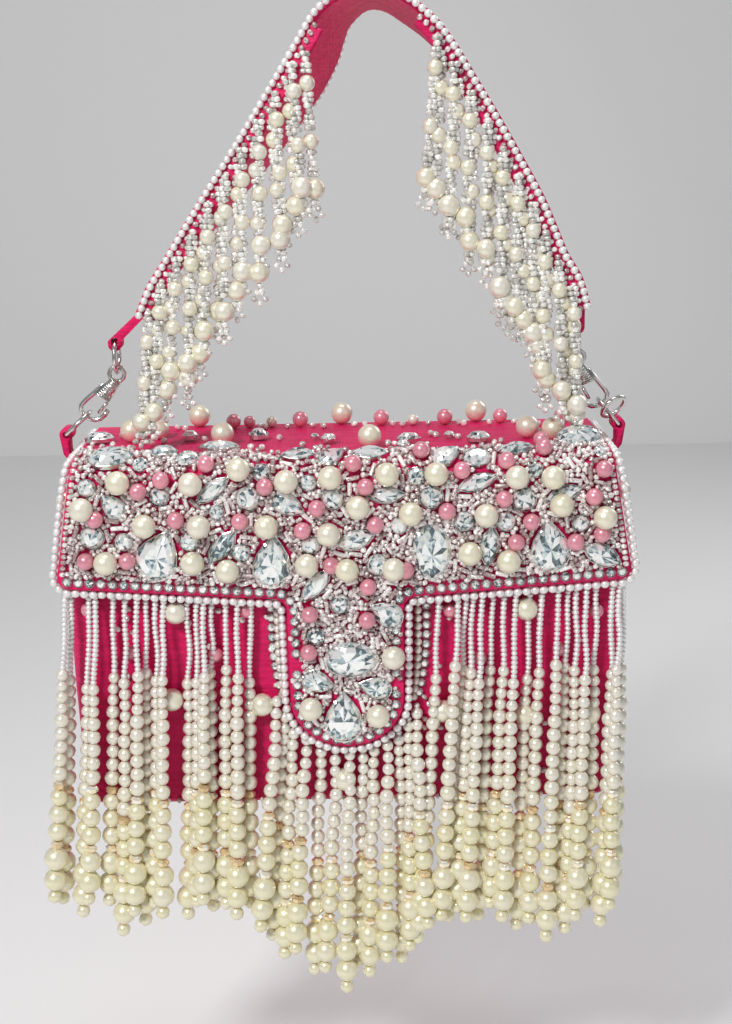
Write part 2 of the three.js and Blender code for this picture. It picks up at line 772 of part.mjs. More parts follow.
function springHook(side) {
  const bend = wire(hookBend.map(([u, v]) => onHook(side, u, v)), hookWire, wireSides);
  const eyePoints = [];
  const eyeSteps = 12;
  for (let k = 0; k < eyeSteps; k += 1) {
    const turn = (2 * Math.PI * k) / eyeSteps;
    eyePoints.push(onHook(side, eye.u + eye.long * Math.cos(turn), eye.v + eye.wide * Math.sin(turn)));
  }
  const eyeLoop = wireLoop(eyePoints, hookWire, wireSides);
  const corners = [
    onHook(side, barrel.top, barrel.inTop),
    onHook(side, barrel.top, barrel.out),
    onHook(side, barrel.low, barrel.out),
    onHook(side, barrel.low, barrel.inLow),
  ];
  const outline = new THREE.Shape(corners.map((p) => new THREE.Vector2(p.x, p.z)));
  return fuse([alongY(outline, -barrel.halfDepth, barrel.halfDepth), bend, eyeLoop]);
}

function hookGate(side) {
  const from = onHook(side, gatePivot.u, gatePivot.v);
  const to = onHook(side, gateEnd.u, gateEnd.v);
  const heading = Math.atan2(to.z - from.z, to.x - from.x);
  const outline = new THREE.Shape();
  outline.absarc(to.x, to.z, gateRadius, heading - Math.PI / 2, heading + Math.PI / 2, false);
  outline.absarc(from.x, from.z, gateRadius, heading + Math.PI / 2, heading + 1.5 * Math.PI, false);
  outline.closePath();
  return alongY(outline, -gateDepth / 2, gateDepth / 2);
}

// The ring through the hook's eye and the strap's end tab: its middle
function strapRingMiddle(side) {
  const low = onHook(side, hookWire + fineGap + ringWire, eye.v);
  return low.setZ(low.z + strapRingRadius);
}

function strapRing(side) {
  const ring = new THREE.TorusGeometry(strapRingRadius, ringWire, wireSides, 16);
  ring.rotateY(Math.PI / 2);
  const middle = strapRingMiddle(side);
  return ring.translate(middle.x, 0, middle.z);
}

// The fabric tab at the strap's end, folded round the ring
function strapTab(side) {
  const share = side.sign > 0 ? 1 : 0;
  const end = onStrap(share, strapWidth / 2, strapThickness / 2);
  const heading = strapRoute.getTangent(share).multiplyScalar(side.sign);
  end.x *= side.sign;
  heading.x *= side.sign;
  const outward = new THREE.Vector3(-heading.z, 0, heading.x);
  const hole = ringWire + fineGap;
  const wall = hole + tabWall;
  const sag = strapRingRadius - Math.sqrt(strapRingRadius ** 2 - (strapTabWidth / 2) ** 2);
  const middle = strapRingMiddle(side);
  const x = middle.x;
  const z = middle.z + strapRingRadius;
  const start = end.clone().addScaledVector(heading, gap + 0.1);
  const high = start.clone().addScaledVector(outward, strapThickness / 2 - 0.1);
  const low = start.clone().addScaledVector(outward, 0.1 - strapThickness / 2);
  const outline = new THREE.Shape();
  outline.moveTo(high.x, high.z);
  outline.lineTo(low.x, low.z);
  outline.lineTo(x - wall, z);
  outline.lineTo(x - wall, z - sag);
  outline.absarc(x, z - sag, wall, Math.PI, 2 * Math.PI, false);
  outline.lineTo(x + wall, z);
  outline.closePath();
  const slot = new THREE.Shape();
  slot.absarc(x, z, hole, 0, Math.PI, false);
  slot.absarc(x, z - sag, hole, Math.PI, 2 * Math.PI, false);
  slot.closePath();
  const block = alongY(outline, -strapTabWidth / 2, strapTabWidth / 2);
  return cut(block, [alongY(slot, -strapTabWidth, strapTabWidth)]);
}

// The D-shaped ring between the hook's bend and the tab on the body's side
function onDRing(side, y, rise) {
  const place = side.bar.clone().addScaledVector(side.rise, rise);
  place.y = y;
  return place;
}

function dRing(side) {
  const points = [];
  const straight = dRingLength - dRingHalfWidth;
  const steps = 8;
  points.push(onDRing(side, -dRingHalfWidth + 1.2, 0));
  points.push(onDRing(side, 0, 0));
  points.push(onDRing(side, dRingHalfWidth - 1.2, 0));
  points.push(onDRing(side, dRingHalfWidth, 1.2));
  for (let k = 0; k <= steps; k += 1) {
    const turn = (Math.PI * k) / steps;
    const y = dRingHalfWidth * Math.cos(turn);
    points.push(onDRing(side, y, straight + dRingHalfWidth * Math.sin(turn)));
  }
  points.push(onDRing(side, -dRingHalfWidth, 1.2));
  return wireLoop(points, ringWire, wireSides);
}

// The fabric tab on the body's side, folded round the D-ring's bar
function bodyTab() {
  const face = bodyWidth / 2 + gap;
  const hole = ringWire + fineGap;
  const wall = hole + tabWall;
  const past = dRingBarX - 0.64 * dRingClear;
  const under = flapTop - flapThickness;
  const strip = new THREE.Shape();
  strip.moveTo(face, under - 15);
  strip.lineTo(face + 1.9, under - 15);
  strip.lineTo(face + 1.9, under - 4);
  strip.lineTo(past + 1.9, under - 0.9);
  strip.lineTo(dRingBarX + wall, dRingBarZ);
  strip.lineTo(dRingBarX, dRingBarZ + wall);
  strip.lineTo(past, dRingBarZ);
  strip.lineTo(past, under - 0.5);
  strip.lineTo(face, under - 2.4);
  strip.closePath();
  const loop = new THREE.Shape();
  loop.absarc(dRingBarX, dRingBarZ, wall, 0, 2 * Math.PI, false);
  const bore = new THREE.Shape();
  bore.absarc(dRingBarX, dRingBarZ, hole, 0, 2 * Math.PI, false);
  const half = bodyTabWidth / 2;
  const solid = fuse([alongY(strip, -half, half), alongY(loop, -half, half)]);
  return cut(solid, [alongY(bore, -bodyTabWidth, bodyTabWidth)]);
}

// A loose ring on the right D-ring's front side
function spareRing(side) {
  const aside = new THREE.Vector3(side.rise.z, 0, -side.rise.x);
  const slant = THREE.MathUtils.degToRad(40);
  const axis = side.rise.clone().multiplyScalar(Math.cos(slant));
  axis.y = Math.sin(slant);
  const ring = new THREE.TorusGeometry(spareRingRadius, ringWire, wireSides, 16);
  ring.applyQuaternion(new THREE.Quaternion().setFromUnitVectors(new THREE.Vector3(0, 0, 1), axis));
  const inside = spareRingRadius - 2 * ringWire - fineGap - 0.3;
  const middle = onDRing(side, -dRingHalfWidth, spareRingRise).addScaledVector(aside, inside);
  return ring.translate(middle.x, middle.y, middle.z);
}

// A round snap behind the tongue, on the body's front
function snapDisc() {
  const from = flapInner + gap;
  const to = -bodyHalfDepth - bodyCrown - gap;
  const disc = new THREE.CylinderGeometry(snapRadius, snapRadius, to - from, 16);
  return disc.translate(0, (from + to) / 2, flapLow - tongueDrop / 3);
}

addNode('body_shell', bodyShell(), silk(), bag);
addNode('flap', flapSheet(), silk(), bag);
addNode('flap_piping', flapPiping(), pearlWhite(), bag);
addNode('fringe_right', sideFringe(1), pearlCream(), bag);
addNode('fringe_left', sideFringe(-1), pearlCream(), bag);
addNode('fringe_tongue', tongueFringe(), pearlCream(), bag);
addNode('snap_disc', snapDisc(), nickel(), bag);
for (const row of stoneTable) {
  addNode(`crystal_${row.name}`, placeStone(row), crystal(), bag);
}
pearlTable.forEach((row, k) => {
  addNode(`pearl_${String(k + 1).padStart(2, '0')}`, pearl(row), pearlCream(), bag);
});
const tab = bodyTab();
addNode('body_tab_right', tab, silk(), bag);
addNode('body_tab_left', mirrored(tab), silk(), bag);

addNode('strap', strapRibbon(0, 1, strapStations, [0, strapWidth], [0, strapThickness]), silk());
addNode('strap_piping_front', strapPiping(-pipingRadius - gap), pearlWhite());
addNode('strap_piping_back', strapPiping(strapWidth + pipingRadius + gap), pearlWhite());
addNode('strap_fringe_left', strapFringe(-1), seedClear());
addNode('strap_fringe_right', strapFringe(1), seedClear());

const rightSide = chain(1, 22, 39);
const leftSide = chain(-1, 33, 48);
for (const [piece, make, material] of [
  ['strap_tab', strapTab, silk],
  ['strap_ring', strapRing, nickel],
  ['hook', springHook, nickel],
  ['gate', hookGate, nickel],
  ['d_ring', dRing, nickel],
]) {
  addNode(`${piece}_right`, make(rightSide), material());
  addNode(`${piece}_left`, mirrored(make(leftSide)), material());
}
addNode('spare_ring', spareRing(rightSide), nickel());

export default group;
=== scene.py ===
"""Beaded evening handbag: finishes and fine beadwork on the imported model."""
import math
import random

import bpy
import numpy as np
from bpy.props import FloatProperty, FloatVectorProperty, PointerProperty
from mathutils import Matrix, Vector


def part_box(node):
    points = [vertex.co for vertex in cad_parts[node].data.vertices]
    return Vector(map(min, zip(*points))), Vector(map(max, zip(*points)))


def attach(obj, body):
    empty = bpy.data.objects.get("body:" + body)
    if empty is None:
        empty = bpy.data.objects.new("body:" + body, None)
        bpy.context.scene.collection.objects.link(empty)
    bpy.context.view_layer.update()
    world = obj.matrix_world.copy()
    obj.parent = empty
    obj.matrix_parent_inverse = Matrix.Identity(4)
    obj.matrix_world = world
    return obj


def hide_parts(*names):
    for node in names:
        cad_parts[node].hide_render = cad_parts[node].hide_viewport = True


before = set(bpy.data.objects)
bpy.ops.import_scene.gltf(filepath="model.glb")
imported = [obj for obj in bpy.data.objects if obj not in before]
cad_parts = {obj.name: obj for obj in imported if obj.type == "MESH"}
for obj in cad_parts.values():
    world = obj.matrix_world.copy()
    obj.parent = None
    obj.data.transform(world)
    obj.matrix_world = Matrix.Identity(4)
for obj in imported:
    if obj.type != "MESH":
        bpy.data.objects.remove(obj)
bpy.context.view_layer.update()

bl_info = {
    "name": "Beaded Evening Handbag",
    "version": (1, 0, 0),
    "blender": (4, 5, 0),
    "location": "View3D > Sidebar > Handbag",
    "description": "Silk, pearls, cut stones and bead fringes of a beaded evening handbag",
    "category": "Object",
}

MM = 0.001

# Levels of the bag in millimetres, as in the solids: X from the middle of the flap
BAG_X = -13.0
FLAP_TOP = -146.0
FLAP_FRONT = -34.0
FLAP_ROUND = 8.0
FLAP_LOW = -190.0
TONGUE_LOW = -248.5
TONGUE_BOWL = TONGUE_LOW + 17
BODY_DEPTH = 51.4
BODY_FRONT = -25.7
BODY_CROWN = 1.2
BODY_BOTTOM = -273.1
BODY_RIM = -149.1
FRINGE_BACK = -29.7
STRAP_WIDTH = 34.0
PIPING_OUT = 1.8
SHOULDER = FLAP_ROUND * math.pi / 2
FRONT_START = SHOULDER - FLAP_ROUND

# Shape of the flap's front: half its width at the bend, and how it widens and hangs lower
FLAP_HALF = 89.5
FLAP_SPREAD = 7.2
EDGE_DIP = 5.0
DIP_START = 92.0
DIP_RUN = 68.0
NECK_HALF = 19.8
BOWL_HALF = 19.4

MAIN_PEARL_NODES = [f"pearl_{k:02d}" for k in range(1, 22)]


# ---------------------------------------------------------------- settings

def length_property(label, words, millimetres):
    return FloatProperty(name=label, description=words, default=millimetres * MM, unit="LENGTH",
                         subtype="DISTANCE")


def colour_property(label, words, value):
    return FloatVectorProperty(name=label, description=words, default=value, size=3,
                               min=0, max=1, subtype="COLOR")


class BagSizes(bpy.types.PropertyGroup):
    """Bead and stone sizes."""
    main_pearl: length_property("Main pearl", "Diameter of the large round pearls", 8)
    pink_pearl: length_property("Pink pearl", "Diameter of the pink pearls", 5.8)
    piping_pearl: length_property("Piping pearl", "Diameter of the pearls along the edges", 3)
    seed: length_property("Seed bead", "Diameter of the seed beads", 2.2)
    bugle: length_property("Bugle bead", "Length of the long glass beads", 4.4)
    chain_stone: length_property("Chain stone", "Diameter of the stones in the cup chain", 3)
    chain_pitch: length_property("Chain pitch", "Distance between stones in the cup chain", 3.85)
    stone_height: length_property("Stone height", "Height of the main cut stones", 3.6)
    sway: length_property("Fringe sway", "How far the fringe's ends hang to the left", 7.5)


class BagColours(bpy.types.PropertyGroup):
    """Base colours, linear."""
    silk: colour_property("Silk", "Pink raw silk in the light", (0.80, 0.012, 0.135))
    silk_shade: colour_property("Silk shade", "Raw silk between its slubs", (0.56, 0.004, 0.085))
    cream: colour_property("Cream pearl", "Warmest cream pearls", (0.88, 0.82, 0.54))
    pale: colour_property("Pale pearl", "Palest cream pearls", (0.90, 0.85, 0.80))
    white: colour_property("White pearl", "White piping pearls and seeds", (0.93, 0.90, 0.89))
    pink: colour_property("Pink pearl", "Pink pearls", (0.88, 0.32, 0.40))
    gold: colour_property("Gold crystal", "Champagne crystal discs", (0.88, 0.63, 0.33))
    nickel: colour_property("Nickel", "Polished nickel", (0.78, 0.76, 0.73))
    silver: colour_property("Silver", "Stone settings", (0.82, 0.80, 0.77))


def sizes():
    return bpy.context.scene.handbag_sizes


def colours():
    return bpy.context.scene.handbag_colours


# ---------------------------------------------------------------- finishes

class Value:
    """A shader socket that takes part in plain expressions."""

    def __init__(self, finish, socket):
        self.finish = finish
        self.socket = socket

    def maths(self, operation, first, second):
        return self.finish.node("ShaderNodeMath", {"operation": operation}, {0: first, 1: second})

    def __add__(self, other):
        return self.maths("ADD", self, other)

    def __sub__(self, other):
        return self.maths("SUBTRACT", self, other)

    def __rsub__(self, other):
        return self.maths("SUBTRACT", other, self)

    def __mul__(self, other):
        return self.maths("MULTIPLY", self, other)

    def __pow__(self, other):
        return self.maths("POWER", self, other)

    __radd__ = __add__
    __rmul__ = __mul__


class Finish:
    """A material under construction."""

    def __init__(self, name):
        self.material = bpy.data.materials.new(name)
        self.material.use_nodes = True
        self.tree = self.material.node_tree
        self.shader = self.tree.nodes["Principled BSDF"]

    def node(self, kind, settings=None, values=None, output=0):
        made = self.tree.nodes.new(kind)
        for key, value in (settings or {}).items():
            if key == "stops":
                self.set_stops(made.color_ramp, value)
            else:
                setattr(made, key, value)
        for key, value in (values or {}).items():
            self.feed(made.inputs[key], value)
        return Value(self, made.outputs[output])

    def set_stops(self, ramp, stops):
        while len(ramp.elements) < len(stops):
            ramp.elements.new(0.5)
        for element, (place, colour) in zip(ramp.elements, stops):
            element.position = place
            element.color = (*colour, 1)

    def feed(self, socket, value):
        if isinstance(value, Value):
            self.tree.links.new(value.socket, socket)
        elif isinstance(value, (int, float)) or socket.type != "RGBA":
            socket.default_value = value
        else:
            socket.default_value = (*value, 1)

    def set(self, **values):
        for key, value in values.items():
            self.feed(self.shader.inputs[key.replace("_", " ")], value)

    def place(self):
        return self.node("ShaderNodeTexCoord", output="Object")

    def tint(self):
        return self.node("ShaderNodeAttribute", {"attribute_name": "tint"}, output="Fac")

    def noise(self, scale, detail, stretch=(1, 1, 1), roughness=0.5):
        mapped = self.node("ShaderNodeMapping", values={"Vector": self.place(), "Scale": stretch})
        return self.node("ShaderNodeTexNoise", values={
            "Vector": mapped, "Scale": scale, "Detail": detail, "Roughness": roughness})

    def threads(self, direction, scale, distortion):
        """One direction of a weave."""
        return self.node("ShaderNodeTexWave", {"wave_type": "BANDS", "bands_direction": direction},
                         {"Vector": self.place(), "Scale": scale, "Distortion": distortion,
                          "Detail": 1, "Detail Scale": 4})

    def stretched(self, value, low, high):
        """The value's part from low to high, spread over 0 to 1."""
        return self.node("ShaderNodeMapRange", {"clamp": True},
                         {"Value": value, "From Min": low, "From Max": high,
                          "To Min": 0, "To Max": 1})

    def blend(self, factor, first, second):
        return self.node("ShaderNodeMix", {"data_type": "RGBA"},
                         {0: factor, 6: first, 7: second}, output=2)

    def ramp(self, factor, stops):
        return self.node("ShaderNodeValToRGB", {"stops": stops}, {0: factor})

    def bump(self, height, depth, strength):
        made = self.node("ShaderNodeBump", values={"Height": height, "Distance": depth,
                                                   "Strength": strength})
        self.feed(self.shader.inputs["Normal"], made)


def scaled(colour, amount):
    return tuple(min(1.0, c * amount) for c in colour)


def silk_finish():
    """Raw silk: long slubs across, a fine weave, soft sheen."""
    made = Finish("pink_silk")
    palette = colours()
    slub = made.noise(1.0, 3, (90, 420, 700), 0.6)
    cloud = made.noise(38, 2)
    weave = made.threads("Z", 260, 2.2)
    warp = made.threads("X", 300, 1.6)
    level = made.stretched(slub * 0.65 + cloud * 0.35, 0.34, 0.62)
    made.set(Base_Color=made.blend(level, tuple(palette.silk_shade), tuple(palette.silk)))
    made.set(Roughness=0.62 - slub * 0.2, Sheen_Weight=0.15, Sheen_Roughness=0.4,
             Sheen_Tint=(1.0, 0.2, 0.5), Specular_IOR_Level=0.25)
    made.bump(slub * 0.9 + weave * 0.18 + warp * 0.14, 0.00035, 0.8)
    return made.material


def pearl_finish(name, cool, warm, rough=0.28):
    """Coated glass pearl with a soft lustre, from cool to warm by the bead's tint."""
    made = Finish(name)
    shade = made.blend(made.tint(), cool, warm)
    mottle = made.noise(420, 2)
    body = made.blend(mottle * 0.25, shade, scaled(warm, 0.84))
    made.set(Base_Color=body, Roughness=rough + mottle * 0.12, Metallic=0.3, Coat_Weight=0.8,
             Coat_Roughness=0.11, Coat_IOR=1.7, Specular_IOR_Level=0.8, Sheen_Weight=0.08,
             Sheen_Roughness=0.35, Sheen_Tint=(1.0, 0.86, 0.82))
    made.bump(made.noise(900, 1), 0.00002, 0.3)
    return made.material


def crystal_finish():
    """Foil-backed cut glass with painted reflections: every facet is painted its own brightness,
    broken up by painted reflections of the facets behind it.
    """
    made = Finish("cut_crystal")
    reflection_cells = made.node("ShaderNodeTexVoronoi", {"feature": "F1"},
                     {"Vector": made.place(), "Scale": 700}, output="Color")
    painted_facet_reflection = made.node("ShaderNodeRGBToBW", values={0: reflection_cells})
    # Painted reflections: the facet's tint and the cells set the base colour from near black
    # through blue-grey to white.
    glass = made.ramp(made.tint() * 0.6 + painted_facet_reflection * 0.45, [
        (0.0, (0.03, 0.04, 0.045)), (0.27, (0.16, 0.22, 0.24)), (0.38, (0.50, 0.63, 0.66)),
        (0.48, (0.80, 0.84, 0.80)), (0.6, (1.0, 1.0, 0.97)), (1.0, (1, 1, 1))])
    made.set(Base_Color=glass, Metallic=0.45, Roughness=0.05, Coat_Weight=1.0, Coat_Roughness=0.02)
    made.bump(painted_facet_reflection, 0.0003, 0.6)
    return made.material


def glass_finish(name, dark, light, painted_glint_glow):
    """Silver-lined glass beads with painted light: small patches of painted shade and painted
    sparkle in the base colour, and painted glints that glow.
    """
    made = Finish(name)
    line = made.noise(1300, 2, roughness=0.7)
    # Painted sparkle and shade: noise patches smaller than a bead, with each bead's tint, run the
    # base colour from the dark colour, a painted shade, to the light colour, a painted reflection
    # of the lining.
    level = made.stretched(line * 0.9 + made.tint() * 0.3, 0.47, 0.67)
    # Painted glints: the brightest patches glow near white through the emission, at the strength
    # given last.
    painted_glint = made.blend(level ** 4, (0, 0, 0), (1.0, 1.0, 0.98))
    made.set(Base_Color=made.blend(level, dark, light), Metallic=0.15 + level * 0.25,
             Roughness=0.1, Coat_Weight=1.0, Coat_Roughness=0.03, Emission_Color=painted_glint,
             Emission_Strength=painted_glint_glow)
    made.bump(line, 0.0003, 0.9)
    return made.material


def metal_finish(name, colour, rough):
    """Polished metal with faint wear."""
    made = Finish(name)
    wear = made.noise(240, 3)
    made.set(Base_Color=made.blend(wear * 0.3, colour, scaled(colour, 0.7)), Metallic=1.0,
             Roughness=rough + wear * 0.12)
    made.bump(made.noise(700, 2), 0.00003, 0.35)
    return made.material


def gold_finish():
    """Champagne crystal with painted reflections: each facet is painted its own brightness, from a
    darker champagne to near white, over the crystal's own colour.
    """
    made = Finish("champagne_crystal")
    gold = tuple(colours().gold)
    # Painted reflections: the facet's tint runs the colour from darker gold to near white.
    glass = made.ramp(made.tint(), [(0.0, scaled(gold, 0.75)), (0.3, gold),
                                    (0.6, (1, 0.86, 0.58)), (1.0, (1, 0.97, 0.88))])
    made.set(Base_Color=glass, Metallic=0.45, Roughness=0.1, Coat_Weight=1.0, Coat_Roughness=0.03)
    return made.material


# Each finish's maker, and a material slot name that nothing in the script reads
MAKERS = {
    "silk": (silk_finish, "silk"),
    "cream": (lambda: pearl_finish("cream_pearl", tuple(colours().pale), tuple(colours().cream)),
              "cream_pearl"),
    "white": (lambda: pearl_finish("white_pearl", scaled(colours().white, 0.93),
                                   tuple(colours().white), 0.3), "white_pearl"),
    "pink": (lambda: pearl_finish("pink_pearl", scaled(colours().pink, 0.86),
                                  tuple(colours().pink)), "cream_pearl"),
    "crystal": (crystal_finish, "crystal"),
    # Glass finishes: the dark colour is painted shade, the light colour painted sparkle of the
    # lining, the last number the glow of painted glints.
    "seed": (lambda: glass_finish("clear_seed", (0.50, 0.48, 0.44), (1.0, 0.98, 0.93), 0.05),
             "clear_seed"),
    "field_seed": (lambda: glass_finish("field_seed", (0.36, 0.24, 0.23), (1.0, 0.95, 0.92), 0.06),
                   "clear_seed"),
    "gold": (gold_finish, "crystal"),
    "nickel": (lambda: metal_finish("polished_nickel", tuple(colours().nickel), 0.12), "nickel"),
    "silver": (lambda: metal_finish("silver_setting", tuple(colours().silver), 0.18), "nickel"),
}
FINISHES = {}


def finish(name):
    """Each finish is made once."""
    if name not in FINISHES:
        FINISHES[name] = MAKERS[name][0]()
    return FINISHES[name]


def finished(obj, finish_name, body="bag"):
    """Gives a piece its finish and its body."""
    obj.data.materials.clear()
    obj.data.materials.append(finish(finish_name))
    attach(obj, body)
    return obj


# ---------------------------------------------------------------- modelling helpers

class EditMode:
    """Opens the active object's mesh to the mesh tools."""

    def __enter__(self):
        bpy.ops.object.mode_set(mode="EDIT")

    def __exit__(self, *problem):
        bpy.ops.object.mode_set(mode="OBJECT")


def deselect():
    for obj in bpy.context.selected_objects:
        obj.select_set(False)


def linked(name, data):
    """A new object for data, in the scene."""
    obj = bpy.data.objects.new(name, data)
    bpy.context.scene.collection.objects.link(obj)
    return obj


def pick(obj):
    """Makes obj the one that the tools act on."""
    deselect()
    bpy.context.view_layer.objects.active = obj
    obj.select_set(True)


def box(name, place, size):
    """A box with its place and size applied, as a start."""
    deselect()
    bpy.ops.mesh.primitive_cube_add(size=1, location=place, scale=size)
    obj = bpy.context.active_object
    obj.name = name
    bpy.ops.object.transform_apply(location=True, rotation=True, scale=True)
    return obj


def select_only(mesh, parts, wanted):
    """Selects those of the active mesh's edges or polygons that pass a test."""
    with EditMode():
        bpy.ops.mesh.select_all(action="DESELECT")
        bpy.ops.mesh.select_mode(type="EDGE" if parts == "edges" else "FACE")
    for part in getattr(mesh, parts):
        part.select = wanted(part)


def bevel_edges(mesh, wanted, offset, segments):
    """Rounds the edges whose two ends pass a test."""
    def ends_pass(edge):
        return wanted(*(mesh.vertices[i].co for i in edge.vertices))

    select_only(mesh, "edges", ends_pass)
    with EditMode():
        bpy.ops.mesh.bevel(offset=offset, segments=segments, affect="EDGES", profile=0.5)


def apply_modifier(obj, kind, **settings):
    made = obj.modifiers.new(kind.title(), kind)
    for key, value in settings.items():
        setattr(made, key, value)
    bpy.ops.object.modifier_apply(modifier=made.name)


def smooth_up_to(degrees):
    bpy.ops.object.shade_smooth_by_angle(angle=math.radians(degrees))


class Bead:
    """One bead or stone, modelled once and copied many times."""

    def __init__(self, points, faces, smooth=False):
        self.points = np.array(points, dtype=float)
        self.corners = np.array([i for face in faces for i in face], dtype=np.int64)
        self.counts = np.array([len(face) for face in faces], dtype=np.int64)
        self.smooth = smooth

    @classmethod
    def from_active(cls, smooth=True):
        obj = bpy.context.active_object
        mesh = obj.data
        points = [tuple(v.co) for v in mesh.vertices]
        faces = [tuple(p.vertices) for p in mesh.polygons]
        bpy.data.objects.remove(obj)
        bpy.data.meshes.remove(mesh)
        return cls(points, faces, smooth)


def ball(segments, rings):
    deselect()
    bpy.ops.mesh.primitive_uv_sphere_add(segments=segments, ring_count=rings, radius=1)
    return Bead.from_active()


def barrel_bead(sides, length, rim, smooth=True):
    """A short rounded cylinder with its hole along Z, one unit in radius."""
    deselect()
    bpy.ops.mesh.primitive_cylinder_add(vertices=sides, radius=1, depth=length)
    bevel_edges(bpy.context.active_object.data, lambda a, b: abs(a.z - b.z) < 1e-6, rim, 1)
    return Bead.from_active(smooth)


def outline(cut, width, length, sides, scale=1.0):
    """A stone's outline seen from above; its point or end lies on +Y."""
    points = []
    for k in range(sides):
        turn = 2 * math.pi * k / sides
        rise = math.sin(turn)
        across = math.cos(turn)
        along = rise / 2
        if cut == "pear":
            along = (0.4 * rise if rise < 0 else 0.6 * rise) - 0.1
            if rise >= 0:
                across = math.copysign(1 - rise ** 1.6, across)
        if cut == "navette":
            across = math.copysign(1 - rise * rise, across)
        if abs(math.cos(turn)) < 1e-9:
            across = 0
        points.append((scale * across * width / 2, scale * along * length))
    return points


# A cut stone's back, girdle, upper facets and table: scale, height, and whether its corners
# lie between those of the girdle
STONE_RINGS = [(0.86, 0.0, False), (1.0, 0.38, False), (0.84, 0.74, True), (0.55, 1.0, False)]


def cut_stone(cut, width, length, height, sides):
    """Back, girdle, two rows of facets and a table."""
    points = []
    for scale, rise, between in STONE_RINGS:
        ring = outline(cut, width, length, sides, scale)
        if between:
            corners = [np.array(corner) for corner in ring]
            ring = [tuple((corners[k] + corners[(k + 1) % sides]) / 2) for k in range(sides)]
        points += [(x, y, rise * height) for x, y in ring]
    middle = 4 * sides
    faces = [tuple(reversed(range(sides)))]
    for k in range(sides):
        n = (k + 1) % sides
        girdle, mid, table = sides, 2 * sides, 3 * sides
        faces += [(k, n, girdle + n, girdle + k), (girdle + k, girdle + n, mid + k),
                  (girdle + n, mid + n, mid + k), (mid + k, table + n, table + k),
                  (mid + k, mid + n, table + n)]
    low_end = outline(cut, width, length, sides)[3 * sides // 4][1]
    points.append((0, low_end * 0.1, height * 1.01))
    faces += [(3 * sides + k, 3 * sides + (k + 1) % sides, middle) for k in range(sides)]
    return Bead(points, faces)


# A setting's wall, from inside at the back over its rim: scale, height
CUP_RINGS = [(1.0, 0.0), (1.05, 0.0), (1.05, 0.42), (1.0, 0.46)]


def setting(cut, width, length, height, sides, claws):
    """A thin metal cup round a stone, with small claws over its edge."""
    points = []
    faces = []
    for scale, rise in CUP_RINGS:
        points += [(x, y, rise * height) for x, y in outline(cut, width, length, sides, scale)]
    for ring in range(3):
        low, high = ring * sides, (ring + 1) * sides
        for k in range(sides):
            n = (k + 1) % sides
            faces.append((low + n, high + n, high + k, low + k))
    ring = outline(cut, width, length, sides)
    for claw in range(claws):
        place = Vector((*ring[int(claw * sides / claws) % sides], 0))
        if place.length < 1e-9:
            continue
        out = place.normalized()
        aside = Vector((-out.y, out.x, 0)) * 0.04 * min(width, length)

        def claw_point(reach, rise):
            return place * reach + Vector((0, 0, rise * height))

        low, knee, high = claw_point(1.06, 0.2), claw_point(1.05, 0.55), claw_point(0.92, 0.72)
        base = len(points)
        points += [tuple(point) for point in (
            low - aside, low + aside, knee + aside, knee - aside, high + aside * 0.6,
            high - aside * 0.6, claw_point(0.95, 0.4))]
        faces += [tuple(base + i for i in corners)
                  for corners in ((0, 1, 2, 3), (3, 2, 4, 5), (1, 6, 4, 2), (0, 3, 5, 6))]
    return Bead(points, faces)


def facing(place, up, out, size, turn=0.0):
    """A matrix that sets a bead at place, its Z along out and its Y along up."""
    out = Vector(out).normalized()
    up = Vector(up)
    up = (up - out * up.dot(out)).normalized()
    right = up.cross(out)
    if turn:
        c, s = math.cos(turn), math.sin(turn)
        right, up = right * c - up * s, right * s + up * c
    size = size if isinstance(size, tuple) else (size, size, size)
    made = np.eye(4)
    for column, (way, stretch) in enumerate(zip((right, up, out), size)):
        made[:3, column] = np.array(way) * stretch
    made[:3, 3] = np.array(place)
    return made


def along(place, heading, size, length=None):
    """A matrix for a bead whose hole follows heading, drawn out to length where that is given."""
    heading = Vector(heading).normalized()
    hint = Vector((0, 1, 0)) if abs(heading.y) < 0.9 else Vector((1, 0, 0))
    return facing(place, hint, heading, (size, size, length or size))


